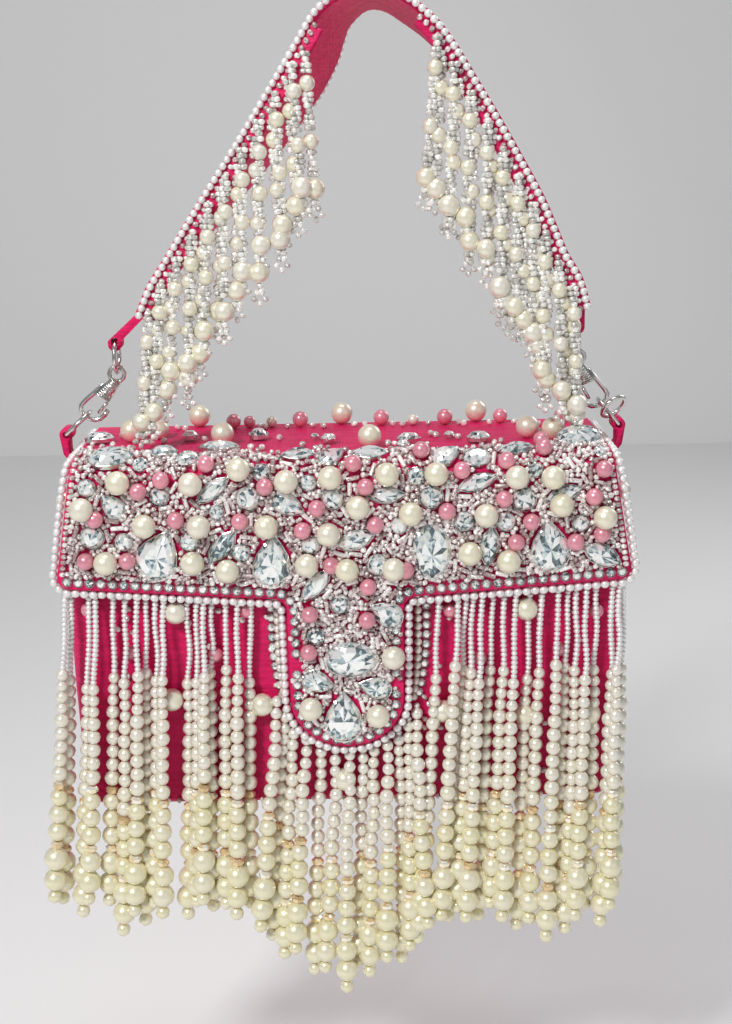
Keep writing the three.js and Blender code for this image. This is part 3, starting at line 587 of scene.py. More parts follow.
def gather(name, placed, finish_name, facet_spread=0.0):
    """Joins placed copies of beads into one piece. placed holds (bead, matrix, tint)."""
    groups = {}
    for bead, matrix, tint in placed:
        _, matrices, bead_tints = groups.setdefault(id(bead), (bead, [], []))
        matrices.append(matrix)
        bead_tints.append(tint)
    chance = np.random.default_rng(len(placed) + len(name))
    points, corners, counts, tints, smooth = [], [], [], [], []
    offset = 0
    for bead, matrices, bead_tints in groups.values():
        stack = np.array(matrices)
        total = len(matrices)
        moved = np.einsum("nij,kj->nki", stack[:, :3, :3], bead.points) + stack[:, None, :3, 3]
        points.append(moved.reshape(-1, 3))
        shift = offset + np.arange(total)[:, None] * len(bead.points)
        corners.append((bead.corners[None, :] + shift).reshape(-1))
        counts.append(np.tile(bead.counts, total))
        face_tints = np.repeat(np.array(bead_tints, dtype=float), len(bead.counts))
        # facet_spread sets each face's tint apart at random; the crystal, champagne and glass
        # finishes turn these tints into painted reflections and sparkle.
        face_tints += facet_spread * (chance.random(len(face_tints)) - 0.5)
        tints.append(face_tints)
        smooth.append(np.full(len(face_tints), bead.smooth))
        offset += total * len(bead.points)
    points, corners, counts = (np.concatenate(rows) for rows in (points, corners, counts))
    mesh = bpy.data.meshes.new(name)
    mesh.vertices.add(len(points))
    mesh.vertices.foreach_set("co", points.astype(np.float32).reshape(-1))
    mesh.loops.add(len(corners))
    mesh.loops.foreach_set("vertex_index", corners.astype(np.int32))
    mesh.polygons.add(len(counts))
    starts = np.concatenate([[0], np.cumsum(counts)[:-1]])
    mesh.polygons.foreach_set("loop_start", starts.astype(np.int32))
    mesh.update(calc_edges=True)
    mesh.polygons.foreach_set("use_smooth", np.concatenate(smooth))
    layer = mesh.attributes.new("tint", "FLOAT", "FACE")
    layer.data.foreach_set("value", np.clip(np.concatenate(tints), 0, 1).astype(np.float32))
    mesh.validate()
    return finished(linked(name, mesh), finish_name)


def copy_of(node, name, finish_name, angle, body="bag"):
    """A merged copy of a solid, smooth over its gentle bends, that stands for it."""
    obj = linked(name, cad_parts[node].data.copy())
    obj.data.name = name
    pick(obj)
    with EditMode():
        bpy.ops.mesh.select_all(action="SELECT")
        bpy.ops.mesh.remove_doubles(threshold=0.00001)
    smooth_up_to(angle)
    finished(obj, finish_name, body)
    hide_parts(node)
    return obj


# ---------------------------------------------------------------- places on the bag

def bag(x, y, z):
    """Millimetres from the flap's middle to metres in the frame."""
    return Vector(((x + BAG_X) * MM, y * MM, z * MM))


def on_flap(x, s, lift=0.0):
    """A place on the flap, with its outward and upward ways: s is measured over the flap's face,
    from where the front bend starts."""
    if s <= 0:
        place = bag(x, FLAP_FRONT + FLAP_ROUND - s, FLAP_TOP + lift)
        return place, Vector((0, 0, 1)), Vector((0, 1, 0))
    if s < SHOULDER:
        turn = math.pi / 2 - s / FLAP_ROUND
        out = Vector((0, -math.cos(turn), math.sin(turn)))
        up = Vector((0, math.sin(turn), math.cos(turn)))
        reach = FLAP_ROUND + lift
        y = FLAP_FRONT + FLAP_ROUND + out.y * reach
        return bag(x, y, FLAP_TOP - FLAP_ROUND + out.z * reach), out, up
    z = FLAP_TOP - FLAP_ROUND - (s - SHOULDER)
    return bag(x, FLAP_FRONT - lift, z), Vector((0, -1, 0)), Vector((0, 0, 1))


def flap_half(z):
    """Half of the flap's width in front: it widens from its bend to its lower edge."""
    return FLAP_HALF + FLAP_SPREAD * (min(40.0, max(0.0, -148 - z)) / 40) ** 0.75


def flap_dip(x):
    """How far the flap's lower edge hangs below its corners, towards the tongue."""
    return EDGE_DIP * min(1.0, max(0.0, (DIP_START - abs(x)) / DIP_RUN))


def flap_height(s):
    """Height of a place on the front, for its distance over the face."""
    below = SHOULDER - s
    return FLAP_TOP - FLAP_ROUND + (below if s > SHOULDER else below * 0.64)


def face_distance(z):
    """Distance over the face of a place on the flat front, for its height."""
    return FLAP_TOP - z + FRONT_START


def arc(centre, radii, start, end, steps):
    """Points on an ellipse from one angle to another."""
    turns = (math.radians(start + (end - start) * k / steps) for k in range(steps + 1))
    return [(centre[0] + radii[0] * math.cos(turn), centre[1] + radii[1] * math.sin(turn))
            for turn in turns]


def flap_side(offset):
    """Half of the flap's lower outline from the top at the side to the tongue's lowest point."""
    low = FLAP_LOW - offset
    corner = 4 + offset
    fillet = 4 - offset
    outer = flap_half(FLAP_LOW) + offset - corner
    inner = NECK_HALF + offset + fillet
    points = [(flap_half(z) + offset, z) for z in range(-154, -186, -4)]
    points += arc((outer, low + corner), (corner, corner), 0, -90, 6)
    points += [(x, low - flap_dip(x)) for x in range(90, 24, -4)]
    points += arc((inner, low - flap_dip(inner) - fillet), (fillet, fillet), 90, 180, 6)
    points += arc((0, TONGUE_BOWL), (BOWL_HALF + offset, 17 + offset), 0, -90, 20)
    return points


def measured(points, pitch):
    """Places at equal distances along a polyline, with the heading at each."""
    points = [Vector(p) for p in points]
    lengths = [(b - a).length for a, b in zip(points, points[1:])]
    total = sum(lengths)
    count = max(1, round(total / pitch))
    places = []
    for k in range(count + 1):
        want = total * k / count
        i = 0
        while i < len(lengths) - 1 and want > lengths[i]:
            want -= lengths[i]
            i += 1
        heading = points[i + 1] - points[i]
        share = want / max(lengths[i], 1e-12)
        places.append((points[i] + heading * share, heading.normalized()))
    return places


def swell(x):
    """How much of a panel's crown there is at x: all in the middle, none at the sides."""
    return max(0.0, 1 - (x / 83) ** 2)


def body_face(x):
    """How far in front the body's face stands at x."""
    return BODY_FRONT - BODY_CROWN * swell(x)


def centre_line(node):
    """The middle of a round eight-sided solid along the strap, from the left end to the right."""
    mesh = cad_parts[node].data
    corners = {tuple(round(c, 6) for c in v.co) for v in mesh.vertices}
    middle = Vector((-5 * MM, 0, -135 * MM))
    places = sorted(corners, key=lambda p: -math.atan2(p[2] - middle.z, p[0] - middle.x))
    rings = [places[i:i + 8] for i in range(0, len(places), 8)]
    return [Vector(np.mean(np.array(ring), axis=0)) for ring in rings if len(ring) == 8]


def smooth_route(points, count):
    """A finer route through evenly spaced points."""
    fine = []
    last = len(points) - 1
    for k in range(count + 1):
        place = last * k / count
        i = min(int(place), last - 1)
        t = place - i
        a, b, c, d = (points[min(max(n, 0), last)] for n in (i - 1, i, i + 1, i + 2))
        fine.append(0.5 * ((2 * b) + (c - a) * t + (2 * a - 5 * b + 4 * c - d) * t * t
                           + (3 * b - a - 3 * c + d) * t ** 3))
    return fine


STRAP_STEPS = 240
strap_front = smooth_route(centre_line("strap_piping_front"), STRAP_STEPS)
strap_back = smooth_route(centre_line("strap_piping_back"), STRAP_STEPS)


def on_strap(share, across, lift=0.0):
    """A place on the strap: across in millimetres from the front edge, lift out of its middle."""
    place = min(max(share, 0.0), 1.0) * STRAP_STEPS
    i = min(int(place), STRAP_STEPS - 1)
    front = strap_front[i].lerp(strap_front[i + 1], place - i)
    back = strap_back[i].lerp(strap_back[i + 1], place - i)
    heading = (strap_front[i + 1] - strap_front[i]).normalized()
    width = back - front
    out = heading.cross(width).normalized()
    share_across = (across + PIPING_OUT) / (STRAP_WIDTH + 2 * PIPING_OUT)
    return front + width * share_across + out * lift * MM


# ---------------------------------------------------------------- tables in millimetres

# Main cut stones: cut, place over the flap, width, length, turn clockwise in degrees
MAIN_STONES = [
    ("crystal_pear_left", "pear", -62, 36.6, 14, 18, 25),
    ("crystal_pear_mid_left", "pear", -24, 39.6, 12.7, 18.3, 5),
    ("crystal_oval_mid_right", "oval", 29.5, 37.3, 12.7, 19, 0),
    ("crystal_pear_right", "pear", 69, 36, 13.3, 17.7, -5),
    ("crystal_navette_right", "navette", 86.5, 39.6, 7.7, 14, 115),
    ("crystal_oval_tongue", "oval", 1.7, 74.9, 12.3, 17.7, 90),
    ("crystal_pear_tongue", "pear", -1.3, 95.6, 13, 18, 0),
    ("crystal_small_tongue_left", "pear", -9.5, 82.8, 8, 11.5, 108),
    ("crystal_small_tongue_right", "pear", 9.5, 85.1, 8, 11.5, -75),
    ("crystal_oval_top_right", "oval", 80, -4.5, 10.5, 15, 85),
    ("crystal_oval_top_left", "oval", -77, 3.9, 9, 14.7, 80),
]

# Smaller cut stones: cut, place over the flap, width, length, turn
SMALL_STONES = [
    ("pear", -76.6, 19.7, 8, 10, -40), ("pear", -17.9, 20.5, 8, 12, 118),
    ("pear", 13.8, 58.9, 9, 12, -60), ("pear", 34.9, 4.9, 8, 11, 60),
    ("pear", -29.3, -23.6, 6.5, 8, 0), ("pear", -3.2, 4.6, 7, 10, 55),
    ("pear", 22.8, -10.8, 6, 8, 80), ("navette", -43.1, 14.9, 6, 14, 52),
    ("navette", -40.7, 34.5, 7, 14.5, 40), ("navette", -9.7, 48.5, 6.5, 15, 42),
    ("navette", 14.7, 17.7, 6, 13, 88), ("navette", 44.7, 13.9, 6, 14, 72),
    ("navette", 48.9, 35.9, 7, 14, 8), ("navette", 3.8, 33.0, 7, 14, 72),
    ("navette", 73.6, 18.5, 6, 13, 70), ("navette", 9.4, 3.5, 6, 13, 88),
    ("navette", 58.1, 2.9, 6, 13, 80), ("navette", -41.2, -2.5, 6.5, 14, 92),
    ("navette", -14.5, 3.6, 5.5, 12, 85), ("oval", -84.6, -22, 7, 10, 85),
    ("oval", -59.7, 0.5, 7.5, 9.5, 70), ("oval", 44.9, 6.1, 7, 9.5, 85),
    ("oval", -51.3, 4.5, 6.5, 8, 80), ("oval", 46.7, -11, 6, 8, 80),
]

# Round cut stones: place over the flap, diameter
ROUND_STONES = [
    (-60.8, 16.7, 6.6), (-31.4, 17.9, 8.2), (-83.8, 30.3, 8.2), (-51.4, 32.5, 6.8),
    (-34.3, 36.6, 6.4), (-11.3, 13.1, 5.6), (-3.2, 18.5, 7.6), (-11.0, 34.3, 6.6),
    (-73.4, 32.2, 6.4), (24.5, 11.6, 6.2), (29.6, 18.6, 8), (60.3, 19.9, 8.2), (18.6, 28.2, 5.8),
    (11.3, 41.6, 7.6), (40.4, 27.2, 7), (54.2, 27.6, 6.6), (79.3, 28.6, 6), (-1.6, 55.2, 7),
    (-10.1, 66.5, 6.4), (-53.2, -23.4, 5.4), (-4.8, -13.8, 5), (-84.8, 13.4, 6.2),
    (-66.8, 6.4, 5.6), (-26.6, 9.6, 6), (-42.0, 22.5, 5.4), (20.5, -2.0, 4.4), (37, -18, 3.6),
    (-9.6, -20, 3), (85.8, 4.5, 4.4), (-23.4, 27.6, 4.4), (64.4, 10.4, 5),
]

# Pink pearls: place over the flap
PINK_PEARLS = [
    (-59.9, 11.3), (-67.6, 14.6), (-55.6, 24.6), (-82.4, 23.8), (-34.3, 25.4), (-25.6, 13.7),
    (-8.6, 21.4), (-13.6, 28.9), (-86.3, 38.1), (-72.4, 38.3), (-4.3, 41.2), (-45.0, 7.4),
    (-11.9, 58.2), (3.7, 8.0), (7.6, 14.4), (39.6, 10.2), (54.5, 8.0), (53.6, 19.4), (34.6, 23.2),
    (62.6, 27.4), (83.4, 19.2), (86.6, 10.6), (77.4, 34.6), (86.2, 32.0), (57.6, 34.4),
    (10.7, 27.4), (20.6, 43.4), (7.9, 48.9), (67.2, 4.2), (7.4, 60.6), (-12.6, 71.7), (26.4, 4.4),
]

# Cream pearls on the flap's bend: place over the flap
BEND_PEARLS = [
    (-74.0, 11.7), (-50.1, 12.3), (-34.2, 9.2), (-18.6, 12.1), (-4.0, 11.4), (14.8, 10.9),
    (31.1, 11.0), (57.7, 12.1), (69.6, 12.3),
]

# Pearls on the flap's top: place, diameter, pink or not
TOP_PEARLS = [
    (-41.2, -15.4, 8, 0), (9.4, -6.1, 8, 0), (64.0, -17.6, 8, 0), (72.4, -13.1, 8, 0),
    (-73.6, -23.4, 8, 0), (-64.6, -28, 7, 0), (-39.7, -45, 5.4, 1), (-34.0, -46, 4.4, 1),
    (-15.5, -45.5, 5.8, 1), (13.9, -46, 5.8, 1), (36.9, -45, 5.8, 1), (57.1, -46, 5.4, 1),
    (-52.5, -50, 8, 0), (-0.5, -50, 8, 0), (48.5, -50, 8, 0), (66.9, -1, 5.4, 1),
    (25.5, -45, 4, 0), (-26, -46, 4, 0), (79, -44, 5.4, 1), (-70, -45, 5.8, 1),
]

# Loose clear beads on the flap's top: place
TOP_SEEDS = [
    (-44, -41), (-41.5, -43), (-30, -44.5), (-28, -42), (-20, -43.5), (-11, -43.6), (-7, -41),
    (4, -44), (8, -42.4), (18, -44), (21.5, -41.8), (31, -43.6), (42, -44), (43.6, -41.6),
    (53, -43), (62, -43.5), (-60, -44), (-57, -42), (-22, -21), (-13.5, -8), (-3.5, -21.5),
    (15.6, -8), (18, -7), (31, -24), (32.5, -21), (40, -17), (-48, -21), (28.6, -4), (51.6, -5),
    (54, -8), (-31, -6), (-27, -4.6), (69, -24), (75, -22), (77, -36), (70, -38), (-66, -16),
    (-69, -18), (-62, -19), (-79, -14), (-82, -10), (-86, -14), (-78, -30), (-74, -33), (85, -20),
    (87, -26), (83, -32),
]

# Pearls on the body's front: place across and height
BODY_PEARLS = [
    (-58, -200.2), (-60.7, -231.8), (-29.6, -234.1), (33.1, -237.7), (61.9, -201.3),
    (61.5, -239.4), (84, -240), (-1.5, -262.4),
]
BODY_PINK_PEARLS = [
    (-88, -199.1), (-74.4, -214.8), (-33.9, -200.2), (36.0, -201.6), (86, -203.0), (73.6, -216.4),
    (-75.8, -246), (-45, -216), (46, -219), (-44, -248), (47, -254),
]

# Side fringe strands: place across at the flap's lower edge, and the height of the end
SIDE_STRANDS = [
    (-94.6, -305), (-92.9, -308), (-86.6, -312), (-84.4, -306), (-78.6, -309), (-74.5, -319.6),
    (-70.6, -311), (-67.6, -317), (-64.3, -309), (-61.2, -312), (-53.5, -315), (-50.3, -309),
    (-47.8, -307), (-44.9, -312), (-40.2, -310), (-36.3, -313), (-31.9, -311), (32.0, -325),
    (39.2, -315), (41.6, -318), (44.3, -313), (47, -316), (51.2, -317.5), (54.6, -311.7),
    (58.4, -316), (63.5, -321.8), (67.2, -318), (72.6, -324), (76.3, -317), (78.9, -322.2),
    (82, -316), (85.6, -314), (91, -319.7), (93.6, -312), (94.8, -309),
]

# Tongue fringe strands: place across and height of the top, the end's place and height
TONGUE_STRANDS = [
    (-24.2, -231.4, -32.6, -318), (-21.6, -236, -29, -324), (-18.7, -242, -24.6, -330),
    (-14.4, -245, -20.6, -327), (-9.4, -249, -14, -338), (-4.4, -250, -10.4, -336),
    (0.6, -250.5, -2.5, -342.5), (5, -250, 1.6, -335), (9.2, -249, 5.6, -338),
    (13.6, -247, 12, -331), (17.7, -244, 17.4, -334), (21.2, -240, 20.5, -328),
    (24, -236, 27, -318),
]


# ---------------------------------------------------------------- pieces

class HANDBAG_OT_body(bpy.types.Operator):
    """Silk box body, open at the top, its walls thickened inwards"""
    bl_idname = "handbag.body"
    bl_label = "Body"

    def execute(self, context):
        low, high = (Vector(corner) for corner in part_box("body_shell"))
        middle = (low + high) / 2
        size = high - low
        obj = box("body_silk", (middle.x, 0, middle.z), (size.x, BODY_DEPTH * MM, size.z))
        mesh = obj.data
        select_only(mesh, "polygons", lambda face: face.normal.z > 0.9)
        with EditMode():
            bpy.ops.mesh.delete(type="FACE")
        bevel_edges(mesh, lambda a, b: abs(a.z - b.z) > 0.05, 7 * MM, 5)
        bevel_edges(mesh, lambda a, b: max(a.z, b.z) < low.z + 0.001, 4 * MM, 3)
        with EditMode():
            bpy.ops.mesh.select_all(action="SELECT")
            bpy.ops.mesh.subdivide(number_cuts=5)
        for vertex in mesh.vertices:
            self.crown(vertex.co)
        apply_modifier(obj, "SOLIDIFY", thickness=2.5 * MM, offset=-1)
        smooth_up_to(40)
        finished(obj, "silk")
        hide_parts("body_shell")
        return {"FINISHED"}

    def crown(self, place):
        """Moves a point out to where the stuffed silk stands, with slow waves over its faces."""
        x = place.x / MM - BAG_X
        z = place.z / MM
        rim_to_floor = BODY_RIM - BODY_BOTTOM
        down = min(1.0, max(0.0, (BODY_RIM - z) / rim_to_floor))
        place.x += x * 0.03 * MM * math.sin(math.pi * down) ** 0.7
        if place.y < -20 * MM:
            rise = max(0.0, math.sin(math.pi * (z - BODY_BOTTOM) / rim_to_floor)) ** 0.3
            place.y -= BODY_CROWN * swell(x) * MM * rise
            place.y += 0.25 * MM * math.sin(x * 0.16 + z * 0.05) * swell(x)
        if place.y > 20 * MM:
            place.y += 0.3 * MM * math.sin(x * 0.11 + 1) * math.sin(z * 0.05) * swell(x)


class HANDBAG_OT_flap(bpy.types.Operator):
    """Silk flap with its tongue, and the tabs"""
    bl_idname = "handbag.flap"
    bl_label = "Flap"

    def execute(self, context):
        self.fit(copy_of("flap", "flap_silk", "silk", 40).data)
        for side in ("left", "right"):
            for part in ("body_tab", "strap_tab"):
                copy_of(f"{part}_{side}", f"{part}_silk_{side}", "silk", 40)
        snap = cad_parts["snap_disc"].data
        snap.materials.clear()
        snap.materials.append(finish("nickel"))
        return {"FINISHED"}

    def fit(self, mesh):
        """Draws in the flap's shoulders and the tongue's neck, as the cloth is pulled there."""
        for vertex in mesh.vertices:
            x = vertex.co.x / MM - BAG_X
            z = vertex.co.z / MM
            wide = abs(x)
            in_front = vertex.co.y < 0
            if z > FLAP_LOW - 0.1 and wide > 30:
                solid_half = 92
                if in_front:
                    solid_half += 4 * min(1.0, max(0.0, (FLAP_TOP - z) / 44))
                wide *= flap_half(z if in_front else FLAP_TOP) / solid_half
            elif z < FLAP_LOW + 0.1 and wide < 27.5:
                down = min(1.0, max(0.0, (FLAP_LOW - 4 - z) / 37.5))
                wide -= (3.2 - 2.6 * down) * min(1.0, wide / 18)
            vertex.co.x = (math.copysign(wide, x) + BAG_X) * MM
            if FLAP_LOW - 5 < z < FLAP_LOW + 0.1 and abs(x) > 17:
                vertex.co.z -= flap_dip(x) * MM


class HANDBAG_OT_piping(bpy.types.Operator):
    """Rows of small white pearls along the flap's and the strap's edges"""
    bl_idname = "handbag.piping"
    bl_label = "Pearl piping"

    def execute(self, context):
        chance = random.Random(4)
        size = sizes().piping_pearl / 2
        pitch = sizes().piping_pearl
        pearl = ball(10, 6)
        rows = []
        for place, heading in measured(self.flap_route(), pitch * 0.985):
            shift = Vector((0, chance.uniform(-0.1, 0.1), chance.uniform(-0.12, 0.12))) * MM
            rows.append((pearl, along(place + shift, heading, size * chance.uniform(0.95, 1.03)),
                         chance.random()))
        piece = gather("flap_piping_pearls", rows, "white")
        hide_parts("flap_piping")
        for edge, across in (("front", -PIPING_OUT), ("back", STRAP_WIDTH + PIPING_OUT)):
            rows = []
            route = [on_strap(k / 160, across) for k in range(161)]
            for place, heading in measured(route, pitch * 0.86):
                rows.append((pearl, along(place, heading, size * chance.uniform(0.83, 0.9)),
                             chance.random()))
            piece = gather(f"strap_piping_pearls_{edge}", rows, "white")
            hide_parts(f"strap_piping_{edge}")
        return {"FINISHED"}

    def flap_route(self):
        """From the flap's back drop over its side, round the front and back on the other side."""
        side = flap_half(FLAP_TOP) + PIPING_OUT
        widening = flap_half(-154) + PIPING_OUT - side
        right = [bag(side + 0.6, 27.4, -166), bag(side, 27.4, -150), bag(side, 26.5, -148),
                 bag(side, 24, -147.4), bag(side, -26, -147.4)]
        for k in range(1, 5):
            turn = math.pi / 2 * (1 + k / 5)
            right.append(bag(side + widening * k / 5, -26 + 6.6 * math.cos(turn),
                             -154 + 6.6 * math.sin(turn)))
        right += [bag(x, FLAP_FRONT + 1.4, z) for x, z in flap_side(PIPING_OUT)]
        left = [Vector((2 * BAG_X * MM - p.x, p.y, p.z)) for p in right[:-1]]
        return right + left[::-1]


class HANDBAG_OT_strap(bpy.types.Operator):
    """Silk strap with rounded edges and the folded tape that holds its fringes"""
    bl_idname = "handbag.strap"
    bl_label = "Strap"

    # Sections of the band and of the folded tape: millimetres across and out of the middle
    band = [(0.5, 1.5), (5, 1.5), (17, 1.7), (29, 1.5), (33.5, 1.5), (34, 0),
            (33.5, -1.5), (29, -1.5), (17, -1.3), (5, -1.5), (0.5, -1.5), (0, 0)]
    tape = [(-0.9, -0.6), (-0.2, -0.4), (0.6, -1.0), (0.8, -4.9), (0, -5.4), (-0.8, -5), (-1.2, -3)]

    def execute(self, context):
        band = self.ribbon("strap_silk", 0, 1, 150, self.band)
        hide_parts("strap")
        chance = random.Random(9)
        seed = barrel_bead(8, 1.5, 0.4)
        seeds = []
        for name, start, end in (("left", 0.0, 0.415), ("right", 0.585, 1.0)):
            self.ribbon(f"fringe_tape_{name}", start, end, 70, self.tape)
            run = [on_strap(start + (end - start) * k / 80, -1.5, -2.5 + 0.5 * (k % 2))
                   for k in range(81)]
            for place, heading in measured(run, 2.9 * MM):
                tilt = Vector((0, -0.2, 0)) + heading
                seeds.append((seed, along(place, tilt, 1.05 * MM), chance.random()))
        gather("strap_edge_seeds", seeds, "field_seed")
        return {"FINISHED"}

    def ribbon(self, name, start, end, steps, profile):
        """A closed band along the strap with the given section."""
        points = [tuple(on_strap(start + (end - start) * k / steps, across, lift))
                  for k in range(steps + 1) for across, lift in profile]
        count = len(profile)
        faces = []
        for low in range(0, steps * count, count):
            high = low + count
            for j in range(count):
                n = (j + 1) % count
                faces.append((low + j, low + n, high + n, high + j))
        faces += [tuple(range(count)), tuple(reversed(range(steps * count, (steps + 1) * count)))]
        mesh = bpy.data.meshes.new(name)
        mesh.from_pydata(points, [], faces)
        obj = linked(name, mesh)
        pick(obj)
        with EditMode():
            bpy.ops.mesh.select_all(action="SELECT")
            bpy.ops.mesh.normals_make_consistent(inside=False)
        smooth_up_to(50)
        return finished(obj, "silk")


class HANDBAG_OT_strap_fringe(bpy.types.Operator):
    """Doubled strands of clear seeds with pearls, hanging from the strap"""
    bl_idname = "handbag.strap_fringe"
    bl_label = "Strap fringes"

    # Strands on each side, and where their pearls hang, as shares of a strand's length
    count = 20
    pearl_marks = (0.2, 0.52, 0.85)
    # Distance between a strand's pairs of seeds
    seed_pitch = 1.75 * MM

    def execute(self, context):
        self.seed = barrel_bead(8, 1.5, 0.4)
        self.pearl = ball(12, 8)
        count = self.count
        for name, start, end, draws in (("left", 0.0, 0.39, 21), ("right", 0.61, 1.0, 22)):
            chance = random.Random(draws)
            glass, pearls = [], []
            for k in range(count):
                share = start + (end - start) * (k + 0.5) / count
                top = on_strap(share, -2.9 + 1.4 * (k % 2), -3.0 - 1.3 * (k % 2))
                rank = (k if name == "left" else count - 1 - k) / (count - 1)
                fan = -0.12 + 0.17 * rank if name == "left" else 0.03 - 0.1 * rank
                self.strand(top, fan, chance, glass, pearls)
            piece = gather(f"strap_strands_{name}", glass, "seed", facet_spread=0.15)
            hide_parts(f"strap_fringe_{name}")
            gather(f"strap_strand_pearls_{name}", pearls, "cream")
        return {"FINISHED"}

    def strand(self, top, fan, chance, glass, pearls):
        """Two twisted rows of seeds between three pearls, with a loop at the end."""
        size = sizes().seed / 2 * 1.06
        length = chance.uniform(45, 52) * MM
        length = top.z - max(top.z - length, (FLAP_TOP + 4) * MM)
        phase = chance.uniform(0, 6.28)
        lean = Vector((fan + chance.uniform(-0.025, 0.025), chance.uniform(-0.04, 0.01), -1))
        widths = [5.3, 5.3, chance.uniform(6.6, 7.4)]
        stops = [(mark * length + chance.uniform(-1.5, 1.5) * MM, width * MM / 2)
                 for mark, width in zip(self.pearl_marks, widths)]
        down = 0.0
        while down < length - 2 * MM:
            near = [stop for stop in stops if abs(down - stop[0]) < stop[1] + 0.3 * MM]
            if near:
                down = near[0][0] + near[0][1] + 0.8 * MM
                continue
            turn = phase + down / MM * 0.4
            for side in (-1, 1):
                aside = Vector((math.cos(turn), math.sin(turn), 0)) * side * 0.9 * MM
                place = top + lean * down + aside
                row = along(place, (0.12 * side, 0.1, -1), size * chance.uniform(0.9, 1.08))
                glass.append((self.seed, row, chance.random()))
            down += self.seed_pitch
        for place, radius in stops:
            pearls.append((self.pearl, along(top + lean * place, (0, 0, -1), radius),
                           chance.uniform(0.2, 0.6)))
        end = top + lean * length
        for k in range(5):
            turn = math.pi * (k / 4 - 0.5) * 1.7
            c, s = math.cos(turn), math.sin(turn)
            loop = Vector((s * 1.9, math.cos(turn + 1) * 0.6, -c * 1.9)) * MM
            glass.append((self.seed, along(end + loop, (c, 0.2, s), size * 0.95), chance.random()))


class HANDBAG_OT_fringe(bpy.types.Operator):
    """Pearl strands under the flap and the tongue, with their sewn heads"""
    bl_idname = "handbag.fringe"
    bl_label = "Flap fringes"

    # A strand's last beads from its end upwards: pearl widths, None for either of two, and discs
    end_beads = [5.0, 8.2, None, "disc", 6.9, 6.7, 6.4, "disc"]
    # How far in front of the sewn head each of three neighbouring strands hangs
    layers = (5.0, 0.3, 2.7)
    # Length of a side strand's row of white seeds, and the distance between them
    seeds_length = 34
    seed_pitch = 1.62

    def execute(self, context):
        self.seed = barrel_bead(8, 1.45, 0.42)
        self.small = ball(10, 6)
        self.large = ball(14, 9)
        self.disc = barrel_bead(8, 1.2, 0.36, smooth=False)
        sway = sizes().sway / MM
        sets = {"left": [], "right": [], "tongue": []}
        for k, (x, low) in enumerate(SIDE_STRANDS):
            if x < 0:
                lean = 0.6 * sway + 0.84 * sway * (max(0.0, -32 - x) / 63) ** 2
            else:
                lean = 0.32 * sway + 0.85 * sway * (max(0.0, 95 - x) / 63) ** 1.5
            side = "left" if x < 0 else "right"
            sets[side].append((x, FLAP_LOW + 4, x - lean, low, k, True))
        for k, (x, top, end, low) in enumerate(TONGUE_STRANDS):
            sets["tongue"].append((x, top, end, low, k, False))
        for draws, (name, strands) in enumerate(sets.items(), 31):
            chance = random.Random(draws)
            seeds, pearls, discs = [], [], []
            for row in strands:
                self.strand(row, chance, seeds, pearls, discs)
            piece = gather(f"fringe_pearls_{name}", pearls, "cream")
            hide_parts(f"fringe_{name}")
            gather(f"fringe_discs_{name}", discs, "gold", facet_spread=0.8)
            if seeds:
                gather(f"fringe_seeds_{name}", seeds, "white")
        for name, side in (("left", -1), ("right", 1)):
            self.head(name, side)
        return {"FINISHED"}

    def head(self, name, side):
        """The sewn head that holds a side fringe behind the flap's edge."""
        obj = box(f"fringe_head_{name}", bag(side * 62.9, FRINGE_BACK, -185.5),
                  (63 * MM, 1.6 * MM, 7 * MM))
        apply_modifier(obj, "BEVEL", width=0.6 * MM, segments=2)
        smooth_up_to(40)
        finished(obj, "silk")

    def strand(self, row, chance, seeds, pearls, discs):
        """One strand, built from its end upwards: large pearls and discs, pearls that grow
        smaller, and white seeds up to its head where it is seeded."""
        x, top, end, low, index, seeded = row
        depth = self.layers[index % 3]
        phase = chance.uniform(0, 6.28)
        wave = chance.uniform(0.2, 0.55)
        pull = chance.uniform(3.6, 7.0)
        drift = chance.uniform(-0.8, 0.8)
        drop = top - low

        def at(z):
            share = max(0.0, (top - z) / drop)
            loose = min(1, share * 6) if z > top - 36 else max(0.35, 1 - (top - 36 - z) / 12)
            bend = wave * math.sin(z / pull + phase) * loose + drift * math.sin(math.pi * share)
            reach = FRINGE_BACK - depth * min(1.0, share * 4)
            return bag(x + (end - x) * share ** 1.15 + bend, reach - 0.8 * share, z)

        def pearl(bead, width, low_size, high_size):
            spread = chance.uniform(low_size, high_size)
            return bead, along(at(z + width / 2), at(z) - at(z + width), width / 2 * MM * spread)

        z = low
        third = 8.5 if chance.random() < 0.7 else 7.8
        seeds_end = top - self.seeds_length - chance.uniform(-2, 3) if seeded else top + 0.1
        for width in self.end_beads:
            if width == "disc":
                matrix = along(at(z + 1.35), at(z) - at(z + 3), 2.2 * MM)
                discs.append((self.disc, matrix, chance.random()))
                z += 2.95
                continue
            width = width or third
            bead = self.large if width > 6 else self.small
            pearls.append((*pearl(bead, width, 0.97, 1.02), chance.uniform(0.65, 1.0)))
            z += width * 0.965
        while z + 2.6 < seeds_end:
            share = (seeds_end - z) / max(1.0, seeds_end - low)
            width = 5.7 if share > 0.45 else 5.1 if share > 0.2 else 4.2
            pearls.append((*pearl(self.small, width, 0.96, 1.03),
                           0.05 + 0.6 * share + chance.uniform(-0.08, 0.12)))
            z += width * 0.95
        while z < top:
            matrix = along(at(z + 0.8), at(z) - at(z + 1.6), 1.12 * MM * chance.uniform(0.93, 1.06))
            seeds.append((self.seed, matrix, chance.random()))
            z += self.seed_pitch


